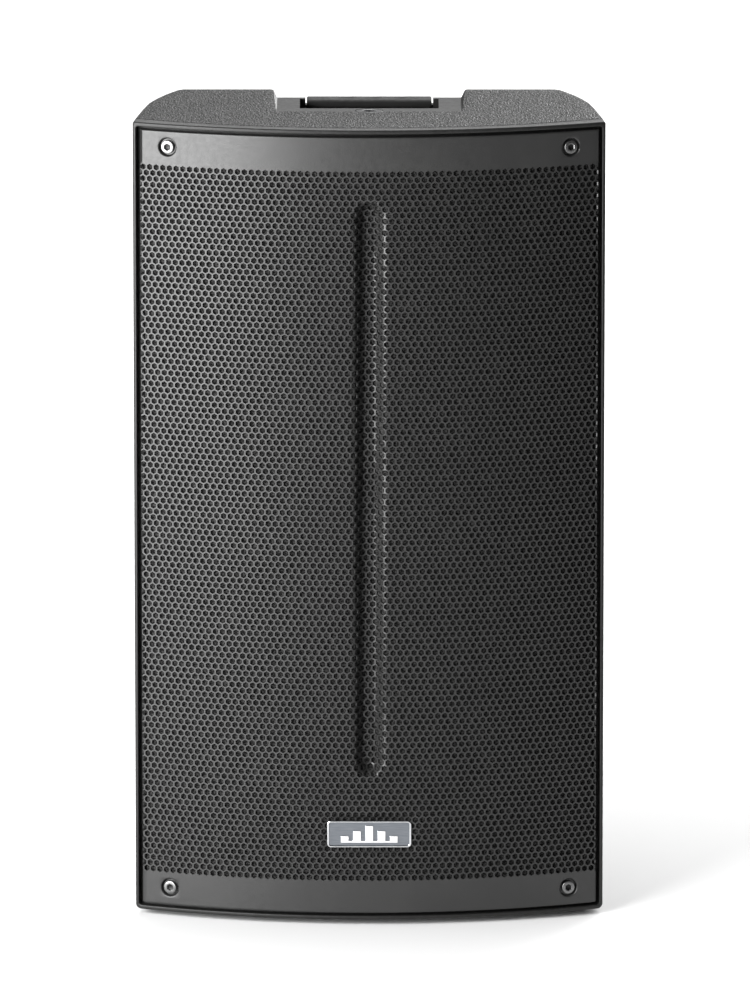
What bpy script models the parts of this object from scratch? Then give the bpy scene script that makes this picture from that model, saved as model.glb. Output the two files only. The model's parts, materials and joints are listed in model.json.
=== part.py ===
"""Powered two-way PA loudspeaker cabinet with a bowed steel grille, in Blender 4.5.

Metres, +Z up. The origin is on the floor under the middle of the cabinet. X is the width, the
front faces -Y, and depths are counted from the front of the bow towards +Y.
"""

import math

import bmesh
import bpy
from mathutils import Euler, Matrix, Vector

# Cabinet
WIDTH = 0.412
DEPTH = 0.385
FOOT_HEIGHT = 0.005
LIP_LOW = FOOT_HEIGHT
LIP_HIGH = LIP_LOW + 0.708
CREST = LIP_HIGH + 0.005
CREST_DEPTH = 0.167
RISE_START = 0.030
BACK_TOP = CREST - 0.068
BOW_RADIUS = 0.535
WALL = 0.005
GAP = 0.0003
SIDE_STATIONS = (
    (0.041, 0.2066),
    (0.088, 0.1988),
    (0.115, 0.1935),
    (0.133, 0.1867),
    (0.148, 0.1797),
    (0.160, 0.1727),
    (0.232, 0.134),
    (0.372, 0.118),
    (DEPTH, 0.105),
)
PARTING = 0.012
LIP_SIDE, LIP_TOP = 0.003, 0.005
POCKET_DEPTH = 0.009
SLEEVE = 0.0032
PANEL_FACE = 0.058
PANEL_THICK = 0.008

# Cutters run past the cabinet to these limits
UNDER, ABOVE = -0.05, 0.80
AHEAD, BEHIND = -0.03, 0.42
ASIDE = 0.30

# Grille
SHEET = 0.0012
GRILLE_HALF = 0.200
GRILLE_FOLD = 0.007
GRILLE_LOW = LIP_LOW + 0.0065
GRILLE_HIGH = LIP_HIGH - 0.0065
GROOVE_TOP, GROOVE_FOOT = LIP_HIGH - 0.062, LIP_HIGH - 0.579
GROOVE_HALF, GROOVE_FLOOR, GROOVE_DEPTH, GROOVE_RAMP = 0.014, 0.0045, 0.011, 0.010
BADGE_Z = LIP_HIGH - 0.630
BADGE_SIZE = (0.074, 0.024)
BADGE_POCKET = (0.081, 0.033)
BADGE_FLOOR = 0.0024
EMBLEM_LOW, BAR_PITCH, BAR_HALF = 0.0078, 0.0108, 0.0034
BAR_HEIGHTS = (0.0062, 0.0108, 0.0154, 0.0108, 0.0062)
FOAM_THICK = 0.004
FOAM_BEHIND = 0.0026
FOAM_HALF = 0.192
SCREW_X = 0.176
SCREW_TOP, SCREW_FOOT = LIP_HIGH - 0.0205, LIP_LOW + 0.0222
DIMPLE = 0.0034

# Handle
RECESS_HALF = 0.082
RECESS_FRONT, RECESS_BACK, RECESS_END = 0.072, 0.165, 0.272
RECESS_FRONT_Z, RECESS_BACK_Z, RECESS_END_Z = 0.7150, 0.7118, 0.6863
SCOOP_FRONT, SCOOP_Z = 0.186, 0.698
SLOT_HALF, SLOT_FRONT, SLOT_STEP, SLOT_BACK = 0.061, 0.098, 0.154, 0.180
BLOCK_HALF, BLOCK_FRONT, BLOCK_BACK, BLOCK_LOW = 0.088, 0.066, 0.285, 0.680
SEAT_HALF = 0.0563
GRIP_HALF, GRIP_TOP, GRIP_LOW = 0.055, 0.7109, 0.6925
GRIP_SECTION = (
    (0.1480, GRIP_TOP, 0.0050),
    (0.1780, GRIP_TOP, 0.0050),
    (0.1750, GRIP_LOW, 0.0030),
    (0.1610, GRIP_LOW, 0.0030),
)
TENON_HALF, TENON_TOP, TENON_FRONT, TENON_BACK = 0.072, 0.6980, 0.156, 0.174
ARCH_HALF, ARCH_TOP = 0.050, 0.6935
CUP_HALF, CUP_FRONT, CUP_BACK, CUP_WALL = 0.066, 0.093, 0.185, 0.003
CUP_FLOOR = 0.645
INSERT_DEPTH = 0.0845

# Drivers and ports
WOOFER_Z, WOOFER_R = 0.210, 0.190
COIL_R = 0.0385
HORN_Z, HORN_HALF_X, HORN_HALF_Z = 0.570, 0.148, 0.102
THROAT_DEPTH, THROAT_R = 0.150, 0.0125
PORT_X, PORT_Z, PORT_R, PORT_LENGTH = 0.128, 0.412, 0.035, 0.088

# Amplifier
AMP_HALF_X, AMP_HALF_Z, AMP_Z = 0.093, 0.200, 0.330
AMP_LEDGE, AMP_PLATE = 0.371, 0.0025
AMP_FACE = AMP_LEDGE + GAP + AMP_PLATE
OPENING_X, OPENING_Z = 0.085, 0.192
PANEL_RIM = 0.015
INPUT_Z, KNOB_Z, SWITCH_Z, POWER_Z = 0.487, 0.440, 0.408, 0.172
COLUMNS = (0.052, 0.0, -0.052)
LAMPS = (0.080, 0.026)
BARREL_R, PLUG_R = 0.0117, 0.0096
LATCH_Z = 0.0131
PIN_RING, PIN_R = 0.0048, 0.0012
INLET_X, INLET_BODY = 0.035, (0.0230, 0.0190)
SWITCH_X, SWITCH_BODY = -0.037, (0.0100, 0.0140)
HEATSINK_Z = (0.212, 0.388)
FINS = 15
REAR_INSERT_Z = 0.590
SOCKET_DEPTH_AT = 0.192
POLE_R, SOCKET_R, SOCKET_FLANGE_R = 0.0178, 0.0220, 0.0380
POLE_HOLE_R = 0.0310

FACE_FRONT = (math.pi / 2, 0, 0)
FACE_BACK = (-math.pi / 2, 0, 0)

for leftover in list(bpy.data.objects):
    bpy.data.objects.remove(leftover)

PARTS = bpy.data.collections.new("pa_speaker_cabinet")
CUTTERS = bpy.data.collections.new("cutters")
bpy.context.scene.collection.children.link(PARTS)
bpy.context.scene.collection.children.link(CUTTERS)


def material(name, colour, roughness, metallic=0.0):
    made = bpy.data.materials.new(name)
    made.use_nodes = True
    shader = made.node_tree.nodes["Principled BSDF"]
    shader.inputs["Base Color"].default_value = (*colour, 1)
    shader.inputs["Roughness"].default_value = roughness
    shader.inputs["Metallic"].default_value = metallic
    return made


LOOKS = {
    "moulding": ((0.030, 0.030, 0.030), 0.55, 0.0),
    "steel_black": ((0.028, 0.028, 0.028), 0.38, 0.2),
    "foam": ((0.012, 0.012, 0.012), 0.95, 0.0),
    "zinc": ((0.55, 0.55, 0.56), 0.30, 1.0),
    "badge": ((0.62, 0.65, 0.68), 0.25, 0.9),
    "rubber": ((0.020, 0.020, 0.020), 0.80, 0.0),
    "paper": ((0.035, 0.033, 0.030), 0.85, 0.0),
    "ferrite": ((0.060, 0.058, 0.060), 0.70, 0.0),
    "aluminium": ((0.60, 0.61, 0.62), 0.35, 1.0),
    "board": ((0.030, 0.140, 0.070), 0.50, 0.0),
    "lamp": ((0.100, 0.600, 0.150), 0.30, 0.0),
    "red": ((0.400, 0.030, 0.025), 0.35, 0.0),
}


def at(depth):
    """World Y of a depth behind the front of the bow."""
    return depth - DEPTH / 2


def new_object(name, mesh, collection=PARTS):
    made = bpy.data.objects.new(name, mesh)
    collection.objects.link(made)
    return made


def finish(node, look):
    """Gives a piece its own material, and smooth shading with sharp edges kept."""
    node.data.materials.clear()
    node.data.materials.append(material(node.name, *LOOKS[look]))
    node.data.shade_smooth()
    node.data.set_sharp_from_angle(angle=math.radians(35))
    return node


def as_cutter(tool):
    if tool.name in PARTS.objects:
        PARTS.objects.unlink(tool)
        CUTTERS.objects.link(tool)
    tool.hide_render = True
    tool.display_type = "WIRE"
    return tool


def combine(node, tool, operation, solver="EXACT"):
    step = node.modifiers.new(tool.name, "BOOLEAN")
    step.operation = operation
    step.solver = solver
    step.object = as_cutter(tool)
    return node


def cut(node, *tools):
    for tool in tools:
        combine(node, tool, "DIFFERENCE")
    return node


def join(node, *tools):
    for tool in tools:
        combine(node, tool, "UNION")
    return node


def bevel(node, width, segments=1):
    step = node.modifiers.new("bevel", "BEVEL")
    step.width = width
    step.segments = segments
    step.limit_method = "ANGLE"
    step.angle_limit = math.radians(35)
    return node


def box(name, x, depth, z):
    """A box from its (low, high) limits; depth counts from the front of the bow."""
    mesh = bpy.data.meshes.new(name)
    shape = bmesh.new()
    bmesh.ops.create_cube(shape, size=1)
    low = (x[0], at(depth[0]), z[0])
    high = (x[1], at(depth[1]), z[1])
    middle = [(a + b) / 2 for a, b in zip(low, high)]
    bmesh.ops.scale(shape, vec=[b - a for a, b in zip(low, high)], verts=shape.verts)
    shape.to_mesh(mesh)
    shape.free()
    made = new_object(name, mesh)
    made.location = middle
    return made


def rod(name, radius, length, centre, rotation=(0, 0, 0), sides=24, end_radius=None):
    """A rod from centre along its local +Z."""
    mesh = bpy.data.meshes.new(name)
    shape = bmesh.new()
    end_radius = radius if end_radius is None else end_radius
    bmesh.ops.create_cone(
        shape, cap_ends=True, segments=sides, radius1=radius, radius2=end_radius, depth=length
    )
    bmesh.ops.translate(shape, vec=(0, 0, length / 2), verts=shape.verts)
    shape.to_mesh(mesh)
    shape.free()
    made = new_object(name, mesh)
    made.location = centre
    made.rotation_euler = rotation
    return made


def turned(name, profile, centre, rotation, steps=32, closed=False):
    """Turns a (radius, height) profile about local Z, down the outer side and up the inner."""
    mesh = bpy.data.meshes.new(name)
    count = len(profile)
    edges = [(i, i + 1) for i in range(count - 1)]
    if closed:
        edges.append((count - 1, 0))
    mesh.from_pydata([(r, 0, h) for r, h in profile], edges, [])
    made = new_object(name, mesh)
    made.location = centre
    made.rotation_euler = rotation
    turn = made.modifiers.new("turn", "SCREW")
    turn.steps = steps
    turn.render_steps = steps
    turn.use_merge_vertices = True
    turn.merge_threshold = 0.00002
    turn.use_smooth_shade = True
    return made


PLANES = {
    "XY": (0, 0, 0),
    "XZ": (math.pi / 2, 0, 0),
    "YZ": (math.pi / 2, 0, math.pi / 2),
}


def slab(name, outline, low, high, plane="XY"):
    """Extrudes a flat outline. XZ slabs run from depth low to high, and YZ slabs along X."""
    curve = bpy.data.curves.new(name, "CURVE")
    curve.dimensions = "2D"
    curve.fill_mode = "BOTH"
    curve.extrude = (high - low) / 2
    line = curve.splines.new("POLY")
    line.points.add(len(outline) - 1)
    line.use_cyclic_u = True
    for point, (u, v) in zip(line.points, outline):
        point.co = (u, v, 0, 1)
    guide = new_object(name + "_outline", curve)
    middle = (low + high) / 2
    guide.location = {"XY": (0, 0, middle), "XZ": (0, at(middle), 0), "YZ": (middle, 0, 0)}[plane]
    guide.rotation_euler = PLANES[plane]
    bpy.context.view_layer.update()
    seen = guide.evaluated_get(bpy.context.evaluated_depsgraph_get())
    mesh = bpy.data.meshes.new_from_object(seen)
    shape = bmesh.new()
    shape.from_mesh(mesh)
    bmesh.ops.remove_doubles(shape, verts=shape.verts, dist=0.00001)
    bmesh.ops.recalc_face_normals(shape, faces=shape.faces)
    shape.to_mesh(mesh)
    shape.free()
    mesh.name = name
    made = new_object(name, mesh)
    made.matrix_world = guide.matrix_world.copy()
    bpy.data.objects.remove(guide)
    return made


def bow(x):
    """Depth of the bowed front at x."""
    return BOW_RADIUS - math.sqrt(BOW_RADIUS**2 - x**2)


def bow_angle(x):
    return math.asin(x / BOW_RADIUS)


def half_width(depth):
    """Half of the cabinet's width at a depth, from its side stations."""
    stations = SIDE_STATIONS
    for (d0, w0), (d1, w1) in zip(stations, stations[1:]):
        if depth <= d1:
            return w0 + (w1 - w0) * (depth - d0) / (d1 - d0)
    return stations[-1][1]


def plan(inset, front, back, segments=8):
    """The cabinet from above: bowed front moved back by front, sides moved in by inset."""
    corner = WIDTH / 2
    for _ in range(12):
        corner = half_width(bow(corner) + front) - inset
    arc = [corner * i / segments for i in range(-segments, segments + 1)]
    outline = [(x, at(bow(x) + front)) for x in arc]
    start = bow(corner) + front
    sides = [d for d, _ in SIDE_STATIONS if start + 0.002 < d < back - 0.002] + [back]
    outline += [(half_width(d) - inset, at(d)) for d in sides]
    outline += [(inset - half_width(d), at(d)) for d in reversed(sides)]
    return outline


def bow_band(front, back, half=0.24, segments=9):
    """A band that follows the bow, between two depths behind it."""
    across = [half * i / segments for i in range(-segments, segments + 1)]
    near = [(x, at(bow(x) + front)) for x in across]
    far = [(x, at(bow(x) + back)) for x in reversed(across)]
    return near + far


def side_outline(inset):
    """The cabinet from the side: flat base, a gentle rise to the crest and a sloping back."""
    top = [
        (AHEAD, LIP_HIGH),
        (RISE_START, LIP_HIGH),
        (CREST_DEPTH - 0.015, CREST - 0.0004),
        (CREST_DEPTH, CREST),
        (CREST_DEPTH + 0.012, CREST - 0.0018),
        (DEPTH, BACK_TOP),
        (DEPTH + 0.03, BACK_TOP - 0.010),
    ]
    base = [(DEPTH + 0.03, LIP_LOW + inset), (AHEAD, LIP_LOW + inset)]
    return [(at(d), z - inset) for d, z in top] + [(at(d), z) for d, z in base]


def cabinet_block(name):
    """The whole cabinet as one solid, with its edges rounded."""
    made = slab(name, plan(0, 0, DEPTH), LIP_LOW - 0.01, CREST + 0.02)
    combine(made, slab(name + "_side", side_outline(0), -ASIDE, ASIDE, "YZ"), "INTERSECT")
    return bevel(made, 0.003)


def rounded(half_u, half_v, radius, corner_steps=3, centre=(0, 0)):
    """A rectangle with round corners."""
    outline = []
    for quarter, (su, sv) in enumerate(((1, 1), (-1, 1), (-1, -1), (1, -1))):
        for i in range(corner_steps + 1):
            angle = math.pi / 2 * (quarter + i / corner_steps)
            u = su * (half_u - radius) + radius * math.cos(angle)
            v = sv * (half_v - radius) + radius * math.sin(angle)
            outline.append((centre[0] + u, centre[1] + v))
    return outline


def soften(corners, steps=4):
    """An outline with each of its ((u, v), radius) corners turned into an arc."""
    outline = []
    count = len(corners)
    for i, (corner, radius) in enumerate(corners):
        here = Vector(corner)
        back = (Vector(corners[i - 1][0]) - here).normalized()
        onward = (Vector(corners[(i + 1) % count][0]) - here).normalized()
        half = back.angle(onward) / 2
        middle = here + (back + onward).normalized() * radius / math.sin(half)
        first = here + back * radius / math.tan(half) - middle
        last = here + onward * radius / math.tan(half) - middle
        for k in range(steps + 1):
            outline.append(tuple(middle + radius * first.slerp(last, k / steps)))
    return outline


def plate(name, half_x, half_z, radius, depth, centre=(0, 0)):
    """A flat plate across the cabinet, between two depths."""
    return slab(name, rounded(half_x, half_z, radius, centre=centre), *depth, "XZ")


# Enclosure


def make_rear_shell():
    shell = cabinet_block("rear_shell")
    cavity = slab("cavity", plan(WALL, -0.02, DEPTH - WALL), LIP_LOW, CREST)
    combine(cavity, slab("cavity_side", side_outline(WALL), -ASIDE, ASIDE, "YZ"), "INTERSECT")
    cut(
        cavity,
        box("handle_block", (-BLOCK_HALF, BLOCK_HALF), (BLOCK_FRONT, BLOCK_BACK), (BLOCK_LOW, ABOVE)),
        box(
            "panel_block",
            (-OPENING_X - PANEL_RIM, OPENING_X + PANEL_RIM),
            (AMP_LEDGE - 0.011, BEHIND),
            (AMP_Z - OPENING_Z - PANEL_RIM, AMP_Z + OPENING_Z + PANEL_RIM),
        ),
    )
    recess = [
        (at(RECESS_FRONT), RECESS_FRONT_Z),
        (at(RECESS_BACK), RECESS_BACK_Z),
        (at(SCOOP_FRONT), SCOOP_Z),
        (at(RECESS_END), RECESS_END_Z),
        (at(RECESS_END), ABOVE),
        (at(RECESS_FRONT), ABOVE),
    ]
    through = (BLOCK_LOW - 0.02, ABOVE)
    slot = box("slot", (-SLOT_HALF, SLOT_HALF), (SLOT_FRONT, SLOT_STEP), through)
    seat = box("grip_seat", (-SEAT_HALF, SEAT_HALF), (SLOT_STEP - 0.01, SLOT_BACK), through)
    cut(shell, cavity)
    parting = slab("parting_cut", bow_band(2 * AHEAD, PARTING + GAP), UNDER, ABOVE)
    combine(shell, parting, "DIFFERENCE", "MANIFOLD")
    cut(
        shell,
        slab("recess", recess, -RECESS_HALF, RECESS_HALF, "YZ"),
        slot,
        seat,
    )
    for side in (-1, 1):
        near, far = sorted((side * (SEAT_HALF - 0.004), side * (TENON_HALF + GAP)))
        pocket = box(
            f"tenon_pocket_{side}",
            (near, far),
            (TENON_FRONT - GAP, TENON_BACK + GAP),
            (BLOCK_LOW - 0.01, TENON_TOP + GAP),
        )
        cut(shell, pocket)
    ledge_x, ledge_z = AMP_HALF_X + 2 * GAP, AMP_HALF_Z + 2 * GAP
    ledge = plate("panel_recess", ledge_x, ledge_z, 0.004, (AMP_LEDGE, BEHIND), (0, AMP_Z))
    opening = plate("panel_opening", OPENING_X, OPENING_Z, 0.004, (0.35, BEHIND), (0, AMP_Z))
    pole = rod("pole_hole", POLE_HOLE_R, 0.03, (0, at(SOCKET_DEPTH_AT), -0.01), sides=20)
    cut(shell, ledge, opening, pole)
    cut(shell, insert_pocket("top_insert_pocket", top_insert_place()))
    cut(shell, insert_pocket("rear_insert_pocket", rear_insert_place()))
    return finish(shell, "moulding")


def top_insert_place():
    slope = (RECESS_BACK_Z - RECESS_FRONT_Z) / (RECESS_BACK - RECESS_FRONT)
    z = RECESS_FRONT_Z + slope * (INSERT_DEPTH - RECESS_FRONT)
    return (0, at(INSERT_DEPTH), z), (math.atan(slope), 0, 0)


def rear_insert_place():
    return (0, at(DEPTH), REAR_INSERT_Z), FACE_BACK


def insert_pocket(name, place):
    """A stepped cutter for an insert's flange and its barrel, from the face it sits in."""
    profile = [
        (0, 0.01),
        (0.0123, 0.01),
        (0.0123, -0.0018),
        (0.0083, -0.0018),
        (0.0083, -0.022),
        (0, -0.022),
    ]
    return turned(name, profile, *place, 16)


def make_insert(name, place):
    """A threaded M10 rigging insert: round flange, barrel and a blind tapped hole."""
    profile = [
        (0, -0.0170),
        (0.00425, -0.0170),
        (0.00425, 0),
        (0.0110, 0),
        (0.0120, -0.0005),
        (0.0120, -0.0015),
        (0.0080, -0.0015),
        (0.0080, -0.0200),
        (0, -0.0200),
    ]
    return finish(turned(name, profile, *place, 16), "zinc")


def make_front_baffle():
    """The bowed lip, the sleeve that fits inside the shell and the board for the drivers."""
    baffle = cabinet_block("front_baffle")
    inner = WALL + GAP + SLEEVE
    low, high = LIP_LOW + LIP_TOP, LIP_HIGH - LIP_TOP
    pocket = slab("grille_pocket", plan(LIP_SIDE, AHEAD, 0.10), low, high)
    cut(pocket, slab("pocket_floor", bow_band(POCKET_DEPTH, 0.15), UNDER, ABOVE))
    hollow = slab("lip_hollow", plan(inner, AHEAD, 0.10), LIP_LOW + inner, LIP_HIGH - inner)
    behind = slab("behind_lip", bow_band(PARTING, 0.50), UNDER, ABOVE)
    combine(baffle, behind, "DIFFERENCE", "MANIFOLD")
    cut(baffle, pocket, hollow)

    outer = WALL + GAP
    back = PANEL_FACE + PANEL_THICK
    sleeve = slab("sleeve", plan(outer, POCKET_DEPTH, back), LIP_LOW + outer, LIP_HIGH - outer)
    room = slab("sleeve_room", plan(inner, AHEAD, PANEL_FACE), LIP_LOW + inner, LIP_HIGH - inner)
    cut(sleeve, room)
    join(baffle, sleeve)

    through = (PANEL_FACE - 0.02, back + 0.02)
    woofer = rod("woofer_hole", 0.1783, 0.04, (0, at(through[1]), WOOFER_Z), FACE_FRONT, 32)
    horn_hole = rounded(HORN_HALF_X + 0.0055, HORN_HALF_Z + 0.0055, 0.03, 4, (0, HORN_Z))
    horn = slab("horn_hole", horn_hole, *through, "XZ")
    cut(baffle, woofer, horn)
    for side in (-1, 1):
        centre = (side * PORT_X, at(through[1]), PORT_Z)
        cut(baffle, rod(f"port_hole_{side}", PORT_R + 3 * GAP, 0.04, centre, FACE_FRONT, 20))
    for centre, rotation, tag in screw_places():
        front = screw_point(centre, rotation, -DIMPLE - SHEET - 0.0003)
        boss = rod(f"boss_{tag}", 0.007, 0.032, front, flip(rotation), 10)
        bore = rod(f"boss_bore_{tag}", 0.0033, 0.025, centre, flip(rotation), 8)
        join(baffle, boss)
        cut(baffle, bore)
    return finish(baffle, "moulding")


def screw_places():
    """Centre on the bow, rotation with local Z outwards, and a number, for the four screws."""
    places = []
    for z in (SCREW_TOP, SCREW_FOOT):
        for x in (-SCREW_X, SCREW_X):
            rotation = (math.pi / 2, 0, bow_angle(x))
            places.append(((x, at(bow(x)), z), rotation, len(places) + 1))
    return places


def screw_point(centre, rotation, height):
    """A point at a height along a screw's own axis."""
    angle = rotation[2]
    x = centre[0] + height * math.sin(angle)
    y = centre[1] - height * math.cos(angle)
    return (x, y, centre[2])


def flip(rotation):
    """The same axis, pointing inwards."""
    return (rotation[0] + math.pi, rotation[1], rotation[2])


def make_feet():
    places = ((0.150, 0.078), (-0.150, 0.078), (0.088, 0.330), (-0.088, 0.330))
    profile = [(0, FOOT_HEIGHT - GAP), (0.0165, FOOT_HEIGHT - GAP), (0.0145, 0), (0, 0)]
    for i, (x, depth) in enumerate(places):
        foot = turned(f"rubber_foot_{i + 1}", profile, (x, at(depth), 0), (0, 0, 0), 16)
        finish(foot, "rubber")


def make_pole_socket():
    """A blind steel socket for a 35 mm pole, with its flange under the base."""
    top, low, high = 0.084, 0.0015, LIP_LOW - GAP
    profile = [
        (0, top),
        (SOCKET_R, top),
        (SOCKET_R, high),
        (SOCKET_FLANGE_R, high),
        (SOCKET_FLANGE_R, low),
        (POLE_R + 0.0015, low),
        (POLE_R, low + 0.0015),
        (POLE_R, top - 0.003),
        (0, top - 0.003),
    ]
    centre = (0, at(SOCKET_DEPTH_AT), 0)
    return finish(turned("pole_socket", profile, centre, (0, 0, 0), 20), "steel_black")


# Handle


def make_handle():
    """A grip with a tenon at each end, in the slot, and the cup that closes the slot below."""
    section = soften([((at(depth), z), radius) for depth, z, radius in GRIP_SECTION])
    grip = slab("top_handle_grip", section, -GRIP_HALF, GRIP_HALF, "YZ")
    tenon = box(
        "tenon", (-TENON_HALF, TENON_HALF), (TENON_FRONT, TENON_BACK), (BLOCK_LOW, TENON_TOP)
    )
    arch = box("arch", (-ARCH_HALF, ARCH_HALF), (SLOT_FRONT, SLOT_BACK), (BLOCK_LOW - 0.02, ARCH_TOP))
    cut(tenon, arch)
    join(grip, tenon)
    finish(grip, "rubber")

    top = BLOCK_LOW - GAP
    cup = box("handle_cup", (-CUP_HALF, CUP_HALF), (CUP_FRONT, CUP_BACK), (CUP_FLOOR, top))
    flange = box(
        "cup_flange",
        (-CUP_HALF - 0.016, CUP_HALF + 0.016),
        (CUP_FRONT - 0.007, CUP_BACK + 0.007),
        (top - CUP_WALL, top),
    )
    room = box(
        "cup_room",
        (CUP_WALL - CUP_HALF, CUP_HALF - CUP_WALL),
        (CUP_FRONT + CUP_WALL, CUP_BACK - CUP_WALL),
        (CUP_FLOOR + CUP_WALL, BLOCK_LOW + 0.02),
    )
    join(cup, flange)
    cut(cup, room)
    finish(cup, "moulding")


# Grille


def sheet_depth(x, z):
    """Depth of the grille's front face: the bow, its pressed groove and the badge pocket."""
    depth = bow(x)
    if GROOVE_FOOT <= z <= GROOVE_TOP and abs(x) < GROOVE_HALF:
        across = min(1, (GROOVE_HALF - abs(x)) / (GROOVE_HALF - GROOVE_FLOOR))
        along = min(1, (GROOVE_TOP - z) / GROOVE_RAMP, (z - GROOVE_FOOT) / GROOVE_RAMP)
        depth += GROOVE_DEPTH * min(across, along)
    if abs(x) < BADGE_POCKET[0] / 2 and abs(z - BADGE_Z) < BADGE_POCKET[1] / 2:
        depth = max(depth, BADGE_FLOOR)
    return depth


def sheet(name, half, low, high, behind, fold):
    """An open sheet on the bow, from a grid whose lines follow the groove and the pocket."""
    pocket_x, pocket_z = BADGE_POCKET[0] / 2, BADGE_POCKET[1] / 2
    near = [0, GROOVE_FLOOR, GROOVE_HALF, pocket_x - 0.002, pocket_x]
    right = near + [pocket_x + (half - pocket_x) * i / 5 for i in range(1, 6)]
    across = [-x for x in reversed(right[1:])] + right
    if fold:
        across = [-half] + across + [half]
    up = [
        low,
        BADGE_Z - pocket_z,
        BADGE_Z - pocket_z + 0.002,
        BADGE_Z + pocket_z - 0.002,
        BADGE_Z + pocket_z,
        GROOVE_FOOT,
        GROOVE_FOOT + GROOVE_RAMP,
        GROOVE_TOP - GROOVE_RAMP,
        GROOVE_TOP,
        high,
    ]
    mesh = bpy.data.meshes.new(name)
    shape = bmesh.new()
    columns, rows = len(across) - 1, len(up) - 1
    bmesh.ops.create_grid(shape, x_segments=columns, y_segments=rows, size=1)
    for point in shape.verts:
        i = round((point.co.x + 1) / 2 * columns)
        j = round((point.co.y + 1) / 2 * rows)
        x, z = across[i], up[j]
        depth = sheet_depth(x, z) + behind
        if fold and i in (0, columns):
            depth += fold
        point.co = (x, at(depth), z)
    bmesh.ops.recalc_face_normals(shape, faces=shape.faces)
    if sum(face.normal.y * face.calc_area() for face in shape.faces) > 0:
        bmesh.ops.reverse_faces(shape, faces=shape.faces)
    shape.to_mesh(mesh)
    shape.free()
    return new_object(name, mesh)


def thicken(node, thickness):
    step = node.modifiers.new("thickness", "SOLIDIFY")
    step.thickness = thickness
    step.offset = -1
    step.use_even_offset = True
    return node


def make_grille():
    grille = sheet("grille", GRILLE_HALF, GRILLE_LOW, GRILLE_HIGH, 0, GRILLE_FOLD)
    thicken(grille, SHEET)
    dimple = [
        (0.0085, -0.00045),
        (0.0085, -0.00080),
        (0.0079, -0.00200),
        (0.0074, -DIMPLE - SHEET),
        (0.0033, -DIMPLE - SHEET),
        (0.0033, -DIMPLE),
        (0.0064, -DIMPLE),
        (0.0068, -0.00030),
    ]
    for centre, rotation, tag in screw_places():
        start = screw_point(centre, rotation, 0.005)
        hole = rod(f"dimple_hole_{tag}", 0.0073, 0.012, start, flip(rotation), 12)
        ring = turned(f"dimple_{tag}", dimple, centre, rotation, 12, closed=True)
        combine(grille, hole, "DIFFERENCE", "MANIFOLD")
        combine(grille, ring, "UNION", "MANIFOLD")
    finish(grille, "steel_black")

    foam = sheet(
        "grille_foam", FOAM_HALF, GRILLE_LOW + 0.004, GRILLE_HIGH - 0.004, FOAM_BEHIND, 0
    )
    thicken(foam, FOAM_THICK)
    for centre, rotation, tag in screw_places():
        start = screw_point(centre, rotation, 0.005)
        cut(foam, rod(f"foam_hole_{tag}", 0.0092, 0.03, start, flip(rotation), 8))
    finish(foam, "foam")


def make_grille_screws():
    """M6 button-head screws with a hexagon socket."""
    low = -DIMPLE + GAP
    profile = [
        (0, low + 0.0033),
        (0.0030, low + 0.0032),
        (0.0048, low + 0.0022),
        (0.00575, low + 0.0005),
        (0.00575, low),
        (0.0030, low),
        (0.0030, low - 0.020),
        (0, low - 0.020),
    ]
    for centre, rotation, tag in screw_places():
        screw = turned(f"grille_screw_{tag}", profile, centre, rotation, 12)
        start = screw_point(centre, rotation, 0.002)
        cut(screw, rod(f"socket_{tag}", 0.0023, 0.0037, start, flip(rotation), 6))
        finish(screw, "zinc")


def make_badge():
    """A plate with a raised rim, and a plain emblem of level bars on it."""
    half_x, half_z = BADGE_SIZE[0] / 2, BADGE_SIZE[1] / 2
    badge = plate("badge_plate", half_x, half_z, 0.003, (0.0003, BADGE_FLOOR - GAP), (0, BADGE_Z))
    room = plate(
        "badge_room", half_x - 0.0016, half_z - 0.0016, 0.002, (-0.01, 0.0012), (0, BADGE_Z)
    )
    cut(badge, room)
    finish(badge, "badge")
    low, depth = BADGE_Z - EMBLEM_LOW, (0.0004, 0.0009)
    half = 2 * BAR_PITCH + BAR_HALF
    emblem = box("badge_emblem", (-half, half), depth, (low, low + 0.0018))
    for i, height in enumerate(BAR_HEIGHTS):
        x = BAR_PITCH * (i - 2)
        span = (low + 0.0005, low + height)
        join(emblem, box(f"bar_{i}", (x - BAR_HALF, x + BAR_HALF), depth, span))
    finish(emblem, "badge")


# Woofer: heights are counted from the board's face towards the front


def woofer_part(name, profile, look, steps=24, closed=False):
    made = turned(name, profile, (0, at(PANEL_FACE), WOOFER_Z), FACE_FRONT, steps, closed)
    return finish(made, look) if look else made


def half_roll(radius, steps=4):
    """The surround's roll in section, from its outer foot over to its inner foot."""
    angles = [math.pi * i / steps for i in range(steps + 1)]
    return [(0.1640 + radius * math.cos(a), 0.0060 + radius * math.sin(a)) for a in angles]


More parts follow.
